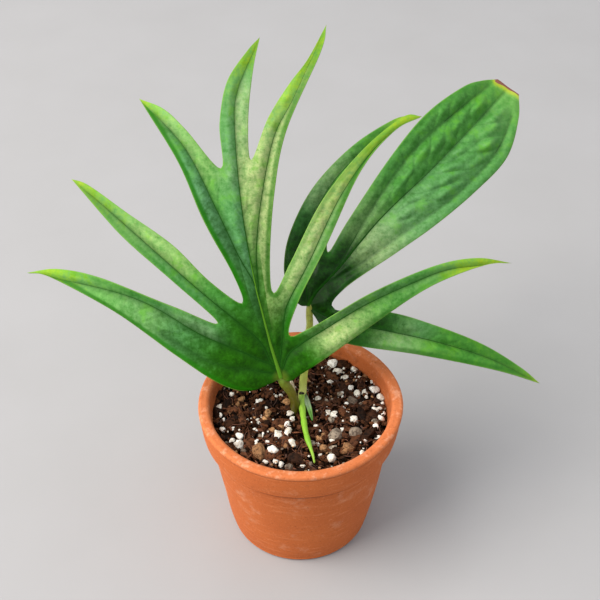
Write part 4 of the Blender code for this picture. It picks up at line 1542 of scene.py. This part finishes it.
    def build_veins(self, rims: Array) -> None:
        """The main veins as thin, low cords that lie in their grooves on the upper side.

        A cord is a flattened tube along place(vein, relief + half the thickness). Its radius is
        midrib or vein_foot times exp(-distance from the foot / vein_taper), plus vein_end times the
        root of (1 - share of the way), and falls to nothing at the end.
        """
        steps, sides = 90, 8
        lines = [finger.vein for finger in self.fingers] + self.minor_veins
        rings, tints = [], []
        for number, vein in enumerate(lines):
            flat = smooth_curve(vein, steps)
            bend = 0.0
            if number < len(self.fingers):
                flat, bend = self.along_spine(number, flat)
            edge = far_from(flat, rims)
            run = run_along(flat)
            share = run / run[-1]
            foot = np.hypot(*flat.T)
            is_midrib = number == self.main
            stout = self.midrib if is_midrib else self.vein_foot
            size = stout * np.exp(-foot / self.vein_taper) + self.vein_end * (1 - share) ** 0.5
            size = size * (1 if number < len(self.fingers) else 0.75)
            size *= ease((1 - share) / 0.08) * (1 if is_midrib else ease(share / 0.05))
            inner = ease(edge / self.edge_width)
            wall = 0.5 * self.thickness * (self.edge_share + (1 - self.edge_share) * inner)
            path = self.place(flat, self.relief_at(flat, edge)[0] + bend + wall)
            rings.append(tube(path, size, sides, self.normal(), flat=0.45))
            lime = ease((self.lime_reach - foot) / 14.0) if is_midrib else 0 * foot
            tints.append(np.repeat(lime, sides))
        faces = repeated(grid_faces(steps, sides, around=True), len(lines), steps * sides)
        values = {Mark.TINT: np.concatenate(tints)}
        cords = mesh_piece(self.name + "_veins", np.stack(rings), faces, [self.vein_skin], values, weld=True)
        settle(cords, Slot.BLADE)

    def along_spine(self, number: int, flat: Array) -> tuple[Array, Array]:
        """A finger's vein, drawn onto the line where its two sides meet, and its lift by the bend.

        Args:
            number: The finger's number.
            flat: Points of the vein, from its foot to the tip.

        Returns:
            The points, which move to that line over the vein's outer half, and their lifts.
        """
        edge_a, row_a, edge_b, row_b = self.outlines()[number]
        finger = self.fingers[number]
        middle = self.vein_share(finger.vein_line(), edge_a, edge_b)[:, None]
        spine = edge_a * (1 - middle) + edge_b * middle
        run, last_row = run_along(spine), max(row_a, row_b)
        at = beside(spine, flat)[2]
        snapped = np.stack([np.interp(at, run, spine[:, axis]) for axis in (0, 1)], axis=1)
        moved = ease(np.linspace(0, 1, len(flat)), 0.45, 0.65)[:, None]
        row = np.interp(at, run, np.arange(len(run)))
        bend = finger.curl * np.clip((row - last_row) / (self.rows - last_row), 0, 1) ** 2
        return flat * (1 - moved) + snapped * moved, bend


FRONT_BLADE = LeafBlade(
    name="front_blade",
    cad_node="leaf_front",
    top=LivingBlade(name="anthurium_leaf_front", roughness=0.42, ior=1.45, specular=0.06),
    foot=(-7.2, -3.2, 80.0),
    tilt=60.0,
    across=380.0,
    along=420.0,
    fold=0.16,
    reach=45.0,
    first=[(0, 0), (-4.5, -2.2), (-12, -4.5), (-21.5, -2), (-40.5, 10), (-64.5, 25.2), (-89.5, 36.3),
           (-99.5, 37.3)],
    notches=[
        Notch([(-99.5, 37.3), (-86, 39.6), (-67.5, 37), (-40.5, 27.7)], (-23.6, 21.6),
              [(-40, 36.8), (-57.5, 51.8), (-66.5, 60.7), (-79, 74.4)], 155),
        Notch([(-79, 74.4), (-72.3, 72.2), (-57.6, 62.3), (-40, 50.6), (-26, 37)], (-14.4, 29),
              [(-18, 40.3), (-28.6, 60), (-38.6, 81.7), (-53.7, 104.2)], 126),
        Notch([(-53.7, 104.2), (-43.8, 100.4), (-35, 92.6)], (-22.2, 78.8),
              [(-22.7, 95), (-20, 110.3), (-12.6, 121.6), (-7.8, 126.8)], 113),
        Notch([(-7.8, 126.8), (-10.2, 115.2), (-12, 97)], (-11, 81.8),
              [(-4.8, 97), (3, 109.5), (10.1, 118.8), (17.2, 131.8)], 102),
        Notch([(17.2, 131.8), (15.1, 121.8), (2.3, 93), (-2.3, 70), (-4, 45)], (-2.6, 32.6),
              [(3.8, 44.4), (15, 66.5), (30, 85), (45.7, 97.5), (53.1, 97.7)], 92),
        Notch([(53.1, 97.7), (42.6, 92.5), (30, 78), (17, 50.5), (7, 30.5)], (3.1, 16.8),
              [(11.7, 20.1), (32.7, 32.4), (58, 42), (75, 44.3), (89, 41.6)], 50),
    ],
    last=[(0, 0), (3.4, -1.1), (9.2, 3), (30, 17.7), (51.5, 31.8), (65.5, 38), (80.8, 41.8), (89, 41.6)],
    fingers=[
        Finger(
            [(0, 0), (-1.7, 4.5), (-8.2, 7.3), (-14.3, 10.4), (-30.4, 17.3), (-49, 27.5), (-68, 33),
             (-99.5, 37.3)],
            -5,
            Side([(0, 0.1), (0.2, 0.18), (0.38, 0.28), (0.55, 0.44), (0.7, 0.62), (0.85, 0.8), (1, 0.98)],
                 [(0.35, 0), (0.5, 0.22), (0.62, 0.2), (0.75, 0)],
                 [(0.2, 0), (0.4, 0.4), (0.6, 0.35), (0.75, 0)], 0.9),
            Side([(0, 0.08), (0.25, 0.14), (0.38, 0.26), (0.55, 0.44), (0.7, 0.64), (0.85, 0.82), (1, 0.98)],
                 [(0.2, 0), (0.3, 0.2), (0.45, 0.2), (0.6, 0)],
                 [(0.15, 0.1), (0.3, 0.5), (0.5, 0.5), (0.7, 0.1)], 0.4),
        ),
        Finger(
            [(-1, 3), (-3.8, 6), (-7.4, 13.5), (-14.2, 20.2), (-30.2, 33.6), (-50.5, 51), (-68.7, 66.3),
             (-79, 74.4)],
            3,
            Side([(0, 0.1), (0.2, 0.18), (0.35, 0.42), (0.6, 0.55), (0.8, 0.7), (0.93, 0.85), (1, 1)],
                 [(0.5, 0), (0.7, 0.2), (0.9, 0.2)],
                 [(0.25, 0.1), (0.4, 0.4), (0.6, 0.35), (0.85, 0.1)], 0.5),
            Side([(0, 0.12), (0.2, 0.2), (0.32, 0.4), (0.5, 0.58), (0.75, 0.7), (0.92, 0.85), (1, 1)],
                 [(0.36, 0), (0.5, 0.4), (0.7, 0.4), (0.85, 0.15)], [(0.2, 0.1), (0.35, 0.2), (0.5, 0)], 0.2),
        ),
        Finger(
            [(-7.7, 28), (-8.6, 32.8), (-10.9, 38.2), (-15.8, 46.8), (-24, 64), (-36, 86.5), (-53.7, 104.2)],
            -4,
            Side([(0, 0.12), (0.3, 0.2), (0.6, 0.35), (0.8, 0.5), (0.93, 0.75), (1, 0.95)],
                 [(0.7, 0), (0.85, 0.2), (0.95, 0)],
                 [(0.1, 0.2), (0.3, 0.5), (0.55, 0.7), (0.8, 0.4), (0.95, 0)], 1.0),
            Side([(0, 0.2), (0.2, 0.35), (0.45, 0.5), (0.7, 0.6), (0.9, 0.75), (1, 1)],
                 [(0.45, 0), (0.6, 0.3), (0.85, 0.35), (0.95, 0)],
                 [(0.05, 0.4), (0.25, 0.4), (0.45, 0.1), (0.8, 0.2)], 0.1),
        ),
        Finger(
            [(0, 0), (-3.8, 12.7), (-7, 25.5), (-9.8, 37.1), (-14.4, 63.4), (-17, 91.4), (-16.2, 106.8),
             (-7.8, 126.8)],
            2,
            Side([(0, 0.1), (0.25, 0.14), (0.4, 0.42), (0.55, 0.54), (0.7, 0.56), (0.85, 0.78), (0.92, 0.86),
                  (1, 0.95)],
                 [(0.5, 0), (0.6, 0.25), (0.7, 0.1)],
                 [(0.2, 0.1), (0.35, 0.7), (0.6, 0.7), (0.85, 0.4), (0.93, 0)], 0.3),
            Side([(0, 0.12), (0.25, 0.2), (0.4, 0.4), (0.6, 0.5), (0.82, 0.6), (0.92, 0.75), (1, 0.95)],
                 [(0.3, 0), (0.42, 0.4), (0.6, 0.6), (0.84, 0.45), (0.92, 0)],
                 [(0.5, 0), (0.7, 0.6), (0.85, 0.7), (0.93, 0)], 0.1),
            12,
        ),
        Finger(
            [(-8, 30), (-8.6, 37), (-9.1, 48.8), (-7.3, 66.9), (-2.6, 90), (5.2, 105.4), (17.2, 131.8)],
            -5,
            Side([(0, 0.25), (0.2, 0.42), (0.5, 0.62), (0.65, 0.83), (0.85, 0.88), (1, 1)],
                 [(0, 0.3), (0.15, 0.5), (0.3, 0.75), (0.5, 0.85), (0.62, 0.4), (0.8, 0.1), (0.93, 0)],
                 [(0.5, 0), (0.65, 0.2), (0.85, 0)], 0.1),
            Side([(0, 0.25), (0.3, 0.42), (0.55, 0.66), (0.75, 0.8), (0.9, 0.88), (1, 1)],
                 [(0, 0.4), (0.2, 0.6), (0.4, 0.8), (0.6, 0.75), (0.8, 0.5), (0.93, 0.1)],
                 [(0.55, 0), (0.7, 0.2), (0.9, 0)], 0.8),
        ),
        Finger(
            [(-0.6, 4), (0.1, 11.1), (1.3, 23.6), (3.1, 29.8), (10.7, 44.5), (22.6, 69.2), (37, 88),
             (53.1, 97.7)],
            -2,
            Side([(0, 0.12), (0.2, 0.3), (0.35, 0.58), (0.55, 0.79), (0.75, 0.86), (0.88, 0.92), (1, 1)],
                 [(0.15, 0), (0.28, 0.6), (0.5, 0.82), (0.65, 0.55), (0.8, 0.2), (0.9, 0)],
                 [(0.1, 0.2), (0.4, 0.1)], 0.6),
            Side([(0, 0.15), (0.2, 0.36), (0.4, 0.58), (0.6, 0.67), (0.8, 0.76), (0.92, 0.87), (1, 1)],
                 [(0.2, 0), (0.32, 0.4), (0.5, 0.4), (0.7, 0.25), (0.85, 0)],
                 [(0.3, 0.2), (0.5, 0.4), (0.7, 0)], 0.7),
        ),
        Finger(
            [(0, 1.5), (2.7, 9), (7.4, 13.2), (14.7, 18), (31.4, 28.1), (50, 36), (65, 40.5), (89, 41.6)],
            -4,
            Side([(0, 0.1), (0.15, 0.26), (0.3, 0.44), (0.6, 0.46), (0.7, 0.62), (0.8, 0.84), (1, 1.0)],
                 [(0.1, 0), (0.2, 0.3), (0.45, 0.2), (0.7, 0)],
                 [(0.1, 0.3), (0.4, 0.4), (0.6, 0.3), (0.75, 0)], 0.1),
            Side([(0, 0.14), (0.12, 0.4), (0.2, 0.55), (0.4, 0.5), (0.6, 0.56), (0.7, 0.72), (0.8, 0.95),
                  (1, 1.05)],
                 [(0.08, 0), (0.15, 0.5), (0.25, 0.85), (0.36, 0.45), (0.5, 0.1)],
                 [(0.4, 0), (0.6, 0.2), (0.75, 0)], 0.5),
        ),
    ],
    main=3,
    minor_veins=[[(-2.4, 1.9), (-12.5, 3.7), (-21.5, 5.3), (-30.5, 8.9), (-44.7, 16.8)]],
    lime_reach=52.0,
)

REAR_BLADE = LeafBlade(
    name="rear_blade",
    cad_node="leaf_rear",
    top=LivingBlade(
        name="anthurium_leaf_rear", roughness=0.42, ior=1.45, specular=0.2, laterals=0.15, vein_and_shade_most=0.22,
        vein_shade_width=1.4, clouding=0.45, graining=0.55,
        tones=((0.0, "#0b2f01"), (0.22, "#205a09"), (0.45, "#3f8029"), (0.7, "#639c37"), (0.88, "#85b02c"),
               (1.0, "#a9b528")),
        # The rear blade's dark heel and palm tones are deep green with painted shade from the front blade.
        pale="#9cab7c", cool_sheen="#6c967a", heel_and_shade="#1f4a0c",
    ),
    foot=(3.2, 20.0, 96.0),
    tilt=50.0,
    across=280.0,
    along=340.0,
    fold=0.15,
    reach=60.0,
    first=[(0, 0), (-3.5, 0.6), (-7.5, 6), (-9.4, 15), (-7, 28.4), (1.8, 46), (17, 62.2), (33, 73),
           (41, 75.5)],
    notches=[
        Notch([(41, 75.5), (30, 65.5), (17.5, 50), (9, 34)], (7.6, 20.8),
              [(15.3, 33), (31.3, 57), (46, 75), (61.5, 87), (70, 90.5), (77, 91.7)], 97),
        Notch([(85.9, 85.8), (84.8, 74.5), (78.9, 58.6), (65.3, 44.6), (49.4, 31.5), (34.2, 20.8), (14, 6.8)],
              (10.2, -1.2), [(31.2, -2.3), (50.4, -7.9), (69.3, -15.4), (85, -24.6), (93.9, -31.6)], 15),
    ],
    last=[(0, 0), (2.5, -4), (7, -10), (16, -14.6), (42.8, -18.8), (75, -25.7), (93.9, -31.6)],
    fingers=[
        Finger(
            [(0, 0), (-1, 10), (-1.5, 22), (2.5, 36), (11, 50), (24, 63), (41, 75.5)],
            -4,
            Side([(0, 0.06), (0.3, 0.14), (0.5, 0.28), (0.7, 0.38), (0.85, 0.55), (0.95, 0.9), (1, 1)],
                 [(0.35, 0), (0.45, 0.4), (0.6, 0.45), (0.75, 0.1)],
                 [(0.2, 0.1), (0.5, 0.4), (0.8, 0.1)], 0.2),
            Side([(0, 0.08), (0.3, 0.2), (0.5, 0.32), (0.7, 0.45), (0.85, 0.75), (1, 1)], margin=0.6),
        ),
        Finger(
            [(0, 0), (2.9, 5.2), (11.8, 14.7), (28.1, 34), (47.8, 53), (67, 72.9), (81.5, 88.8)],
            -3,
            Side([(0, 0.0), (0.15, 0.04), (0.25, 0.2), (0.4, 0.38), (0.8, 0.42), (0.93, 0.5), (1, 0.7)],
                 [(0.18, 0), (0.26, 0.35), (0.36, 0.35), (0.48, 0.05)],
                 [(0.2, 0.1), (0.5, 0.25), (0.9, 0.2)], 0.3),
            Side([(0, 0.0), (0.12, 0.04), (0.2, 0.28), (0.4, 0.4), (0.7, 0.42), (0.9, 0.52), (1, 0.7)],
                 [(0.15, 0), (0.2, 0.75), (0.3, 0.6), (0.42, 0.25), (0.6, 0.1)],
                 [(0.2, 0.2), (0.4, 0.5), (0.8, 0.35)], 0.2),
            30,
        ),
        Finger(
            [(0, 0), (12, -6), (30, -9.5), (50, -14), (72, -21), (93.9, -31.6)],
            -5,
            Side([(0, 0.05), (0.3, 0.16), (0.45, 0.44), (0.65, 0.44), (0.85, 0.5), (0.95, 0.8), (1, 1)],
                 [(0.3, 0), (0.4, 0.3), (0.5, 0.1), (0.6, 0)],
                 [(0.3, 0.1), (0.45, 0.5), (0.55, 0.1), (0.65, 0)], 0.2),
            Side([(0, 0.08), (0.25, 0.42), (0.4, 0.62), (0.65, 0.46), (0.85, 0.5), (0.95, 0.85), (1, 1)],
                 [(0.2, 0), (0.28, 0.5), (0.4, 0.4), (0.52, 0)],
                 [(0.25, 0.2), (0.4, 0.5), (0.52, 0.1), (0.6, 0)], 0.6),
        ),
    ],
    main=1,
    minor_veins=[
        [(7, 9.5), (11.7, 15.5), (20.1, 30.1), (29.5, 45.3), (42.5, 62.6), (55.8, 74.5), (72.6, 88.6)],
        [(8, 9), (18.4, 15), (33.6, 26), (50.7, 37.9), (64.1, 49.3), (75.3, 61.9), (82.1, 76)],
    ],
    lime_reach=6.0,
    palm=(16.0, 36.0),
    # The rear palm's darker tone is partly painted shade from the front blade.
    palm_tone=0.03,
    pleat=1.6,
    quilt=2.3,
    quilt_share=(0.28, 0.55),
    spacing=9.5,
    blister=8.0,
    lean=1.7,
    groove=1.1,
    groove_width=1.8,
    cut_tip=[(77, 91.7), (85.9, 85.8)],
    rows=124,
)


# Stalks and growths


@dataclass
class Growth:
    """A stalk, root or shoot: a tube along a route, with its own swellings and colours.

    radii holds (share along the route, radius), bumps the depth of a slow relief on the skin.
    """

    name: str
    route: list[Triple]
    radii: list[Pair]
    finish: PlantSkin
    slot: Slot
    cad_nodes: tuple[str, ...] = ()
    sides: int = 28
    steps: int = 90
    bumps: float = 0.05
    seed: int = 1

    def build(self) -> None:
        """The tube, closed at both ends, with a slow relief of the skin.

        A point is path + radius x (1 + bumps x relief) x ring, where the radius follows the given
        shares and falls to nothing at each end as the root of 1 - (1 - x) squared. The streaks'
        coordinates run round the girth, and along it at an eighth of its length.
        """
        path = smooth_curve(self.route, self.steps)
        share, run = np.linspace(0, 1, self.steps), run_along(path)
        radii = profile(share, self.radii)
        for gone in (run, run[-1] - run):
            radii = radii * np.sqrt(1 - (1 - np.clip(gone / radii, 0, 1)) ** 2)
        rings = tube(path, radii, self.sides, np.array([1.0, 0.0, 0.0]))
        skin = relief(rings, 5.0, self.seed) + 0.5 * relief(rings, 2.2, self.seed + 1)
        rings = path[:, None, :] + (rings - path[:, None, :]) * (1 + self.bumps * skin[..., None])
        turn = math.tau * np.linspace(0, 1, self.sides, endpoint=False)[None, :]
        girth = max(radius for _, radius in self.radii)
        flat = stacked(girth * np.cos(turn), girth * np.sin(turn), run[:, None] / 8)
        values = {Mark.SHARE: np.repeat(share, self.sides), Mark.FLAT: flat * MM}
        faces = grid_faces(self.steps, self.sides, around=True)
        piece = mesh_piece(self.name, rings, faces, [self.finish], values, weld=True)
        settle(piece, self.slot, *self.cad_nodes)


@dataclass
class PaperySheath:
    """The dried sheath of an old leaf: a thin cupped strip that narrows to both ends."""

    route: list[Triple]
    width: float = 1.9
    thickness: float = 0.35
    cup: float = 0.5
    finish: PlantSkin = PlantSkin(
        name="papery_leaf_sheath", roughness=0.6, ior=1.4,
        along=((0.0, "#7f916a"), (0.45, "#94a884"), (0.7, "#5c8a34"), (1.0, "#33701a")),
        streak="#5f7a4c", streak_most=0.6, streak_width=0.4, speck_most=0.1,
    )

    def build(self) -> None:
        """The strip: path + half width x (v side + cup v squared up), with v from -1 to 1 across it."""
        rows, columns = 60, 16
        path = smooth_curve(self.route, rows)
        ahead = np.gradient(path, axis=0)
        side = np.cross(ahead, (0.0, 0.0, 1.0))
        side /= np.linalg.norm(side, axis=1)[:, None]
        up = np.cross(side, ahead)
        up /= np.linalg.norm(up, axis=1)[:, None]
        along = np.linspace(0, 1, rows)
        half = self.width / 2 * np.sin(math.pi * (0.2 + 0.76 * along)) ** 0.8
        v = np.linspace(-1, 1, columns)
        aside = half[:, None] * v[None, :]
        curl = self.cup * v[None, :] ** 2 * half[:, None] + 0.12 * np.sin(5 * v)[None, :]
        places = path[:, None, :] + side[:, None, :] * aside[..., None] + up[:, None, :] * curl[..., None]
        flat = stacked(aside, 0 * aside, 2.0 * along[:, None])
        values = {Mark.SHARE: np.repeat(along, columns), Mark.FLAT: flat * MM}
        strip = mesh_piece("papery_sheath", places, grid_faces(rows, columns), [self.finish], values)
        wall = strip.modifiers.new("Wall", "SOLIDIFY")
        wall.thickness = self.thickness * MM
        wall.offset = 0.0
        settle(strip, Slot.SHEATH, "sheath")


@dataclass
class Plant:
    """The plant: crown, two stalks with their blades, a green root, a sheath and a young shoot."""

    front: LeafBlade
    rear: LeafBlade

    def stalks(self) -> list[Growth]:
        """The two leaf stalks, each ending as a midrib that dies away on the blade's underside."""
        # A mature leaf stalk: satin, brown at its foot, olive above.
        olive = PlantSkin(
            name="front_leaf_stalk", roughness=0.45, ior=1.45, coat=0.1, streak="#5a4a12",
            along=((0.0, "#46460c"), (0.2, "#5e5a12"), (0.32, "#706c1c"), (0.42, "#6f7a20"),
                   (0.5, "#668224"), (1.0, "#6a9632")),
        )
        # A young leaf stalk: satin, cream green, darker below the blade.
        cream = PlantSkin(
            name="rear_leaf_stalk", roughness=0.42, ior=1.45, coat=0.12, streak="#b2c058",
            along=((0.0, "#b8bd6c"), (0.12, "#d2da80"), (0.22, "#bac85a"), (0.5, "#b2ba4c"),
                   (0.62, "#9a9a38"), (0.75, "#4f6a1c"), (1.0, "#3c6a1e")),
        )
        front = Growth(
            "front_stalk",
            [(-1.9, 0.8, 55.0), (-1.9, 0.5, 61.0), (-2.4, 0.0, 66.0), (-4.0, -1.2, 71.5), (-6.3, -1.8, 76.5),
             self.front.behind(2.0, 1.6), self.front.behind(8.0, 1.3), self.front.behind(24.0, 0.9)],
            [(0, 1.9), (0.12, 1.8), (0.35, 1.7), (0.5, 1.95), (0.56, 1.6), (0.62, 0.85), (1.0, 0.35)],
            olive, Slot.STALK, ("petiole_front",), seed=11,
        )
        rear = Growth(
            "rear_stalk",
            [(0.6, 6.4, 55.0), (0.9, 6.6, 62.0), (1.6, 8.8, 70.5), (2.8, 12.3, 80.0), (3.7, 16.4, 89.0),
             self.rear.behind(2.0, 2.4), self.rear.behind(8.0, 2.5), self.rear.behind(24.0, 2.1)],
            [(0, 1.75), (0.1, 1.6), (0.4, 1.4), (0.6, 1.4), (0.66, 1.6), (0.7, 1.3), (0.75, 0.9),
             (1.0, 0.35)],
            cream, Slot.STALK, ("petiole_rear",), seed=12,
        )
        return [front, rear]

    def small_growths(self) -> list[Growth]:
        """The green root that lies on the mix, the young shoot, the crown and the scar of an old leaf."""
        # A living aerial root: bright lime green with fine streaks.
        lime = PlantSkin(
            name="green_aerial_root", roughness=0.5, ior=1.4,
            along=((0.0, "#b0c066"), (0.06, "#9abf48"), (0.35, "#7fac2a"), (0.7, "#74a422"),
                   (1.0, "#96b944")),
            streak="#5c9420", streak_most=0.5, streak_width=0.35, speck_most=0.1,
        )
        # A shoot's first sheath: cream, browner where it comes out of the mix.
        shoot = PlantSkin(
            name="young_shoot", roughness=0.5, ior=1.4, streak="#b79a78",
            along=((0.0, "#8a6a4a"), (0.5, "#d3c3a2"), (1.0, "#e0d3b6")),
        )
        # Cork, on the old stem: dark brown, dull and strongly streaked.
        bark = PlantSkin(
            name="corky_crown", roughness=0.85, streak="#1c120a", streak_most=0.7,
            along=((0.0, "#2a1c12"), (0.8, "#4a3a22"), (1.0, "#5a5a2c")),
        )
        # Dead leaf tissue: nearly black, dry and dull.
        scar = PlantSkin(
            name="dried_leaf_scar", roughness=0.8, streak="#3a2818",
            along=((0.0, "#2a1a10"), (1.0, "#140c08")),
        )
        root = Growth(
            "green_root",
            [(0.7, 6.0, 62.4), (0.8, 1.7, 61.8), (1.0, -2.1, 61.3), (1.4, -6.9, 61.2), (2.0, -12.1, 61.2),
             (2.9, -17.0, 60.9), (4.0, -21.0, 60.5), (4.9, -24.6, 60.2), (5.5, -27.1, 58.6)],
            [(0, 1.1), (0.08, 1.2), (0.2, 1.35), (0.3, 1.15), (0.42, 1.2), (0.6, 1.0), (0.72, 1.05),
             (0.78, 0.75), (1.0, 0.35)],
            lime, Slot.ROOT, ("aerial_root",), bumps=0.03, seed=13,
        )
        young = Growth(
            "young_shoot",
            [(-2.8, 6.7, 56.0), (-2.7, 6.7, 62.0), (-3.0, 6.5, 66.0), (-3.5, 6.3, 69.0)],
            [(0, 1.2), (0.6, 1.0), (1.0, 0.6)],
            shoot, Slot.STALK, ("bud",), steps=40, sides=20, seed=14,
        )
        crown = Growth(
            "corky_crown",
            [(-0.8, 4.0, 40.0), (-0.8, 4.0, 48.0), (-0.8, 4.0, 54.0), (-0.6, 4.2, 58.6)],
            [(0, 2.0), (0.3, 4.6), (0.8, 5.0), (1.0, 4.2)],
            bark, Slot.BARK, ("crown",), steps=60, sides=36, bumps=0.12, seed=15,
        )
        mark = Growth(
            "leaf_scar",
            [(-0.4, 5.6, 62.6), (0.6, 5.2, 63.3), (1.6, 5.4, 62.8)],
            [(0, 0.5), (0.5, 0.75), (1.0, 0.5)],
            scar, Slot.STALK, steps=16, sides=18, bumps=0.15, seed=16,
        )
        return [root, young, crown, mark]

    def build(self) -> None:
        """Every part of the plant."""
        for growth in [*self.stalks(), *self.small_growths()]:
            growth.build()
        sheath_route = [(1.7, 6.0, 62.2), (2.7, 1.8, 62.2), (3.9, -2.6, 61.4), (4.8, -6.6, 60.2)]
        PaperySheath(sheath_route).build()
        self.rear.build()
        self.front.build()


# The studio


def aim(holder: bpy.types.Object, place: Triple, target: Triple) -> None:
    """Links an object to the scene at a place, with its -Z axis turned to the target."""
    spot = np.array(place) * MM + pot_axis()
    goal = np.array(target) * MM + pot_axis()
    holder.location = spot
    holder.rotation_euler = Vector(goal - spot).to_track_quat("-Z", "Y").to_euler()
    bpy.context.scene.collection.objects.link(holder)


@dataclass(frozen=True)
class SoftLamp:
    """A square soft light: its place and width in millimetres, its power in watts, its colour."""

    name: str
    place: Triple
    width: float
    power: float
    colour: str = "#fffaf2"

    def build(self, target: Triple) -> None:
        """The light, which looks at the target."""
        lamp = bpy.data.lights.new(self.name, "AREA")
        lamp.shape = "SQUARE"
        lamp.size = self.width * MM
        lamp.energy = self.power
        lamp.color = linear(self.colour)[:3]
        aim(bpy.data.objects.new(self.name, lamp), self.place, target)


@dataclass
class Studio:
    """The pale floor, the soft lights and the camera, round the pot's axis."""

    floor_size: float = 6000.0
    eye: Triple = (0.0, -307.2, 378.6)
    target: Triple = (0.0, 0.0, 116.2)
    lens: float = 67.2
    sensor: float = 36.0
    clip: Pair = (0.01, 20.0)
    board: StudioBoard = StudioBoard(name="matt_grey_board", roughness=0.95, specular=0.2)
    sky: str = "#eef1f4"
    sky_strength: float = 1.0
    lamps: tuple[SoftLamp, ...] = (
        SoftLamp("key_light", (-1130.0, -400.0, 1560.0), width=1400.0, power=50.0),
        SoftLamp("side_light", (-2900.0, -500.0, 850.0), width=2200.0, power=48.0),
    )

    def build_floor(self) -> None:
        """A level board, a flat grid wide enough for every view."""
        side = np.linspace(-self.floor_size / 2, self.floor_size / 2, 5)
        places = stacked(side[:, None], side[None, :], 0.0)
        mesh_piece("floor", places, grid_faces(5, 5)[:, ::-1], [self.board])

    def build_sky(self) -> None:
        """An even pale sky that lights the shaded sides."""
        world = bpy.data.worlds.new("studio_sky")
        world.use_nodes = True
        back = world.node_tree.nodes["Background"]
        back.inputs["Color"].default_value = linear(self.sky)
        back.inputs["Strength"].default_value = self.sky_strength
        bpy.context.scene.world = world

    def build_camera(self) -> None:
        """The camera, which looks at the target from the eye."""
        lens = bpy.data.cameras.new("camera")
        lens.sensor_width = self.sensor
        lens.lens = self.lens
        lens.clip_start, lens.clip_end = self.clip
        camera = bpy.data.objects.new("camera", lens)
        aim(camera, self.eye, self.target)
        bpy.context.scene.camera = camera

    def build(self) -> None:
        """Floor, lights, sky and camera."""
        self.build_floor()
        for lamp in self.lamps:
            lamp.build(self.target)
        self.build_sky()
        self.build_camera()


def main() -> None:
    """Builds the pot, the mix, the plant and the studio, in that order."""
    logging.basicConfig(level=logging.INFO, format="%(message)s")
    bpy.context.scene.view_settings.view_transform = "Standard"
    ClayPot().build()
    stem_room = [(-0.8, 4.0, 8.0)]
    root_room = [(0.4 + 0.5 * k * k / 10, 4.0 - 3.2 * k, 1.8) for k in range(11)]
    PottingMix(clear=stem_room + root_room, kinds=GRAIN_KINDS).build()
    Plant(FRONT_BLADE, REAR_BLADE).build()
    Studio().build()
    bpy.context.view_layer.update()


if __name__ == "__main__":
    main()
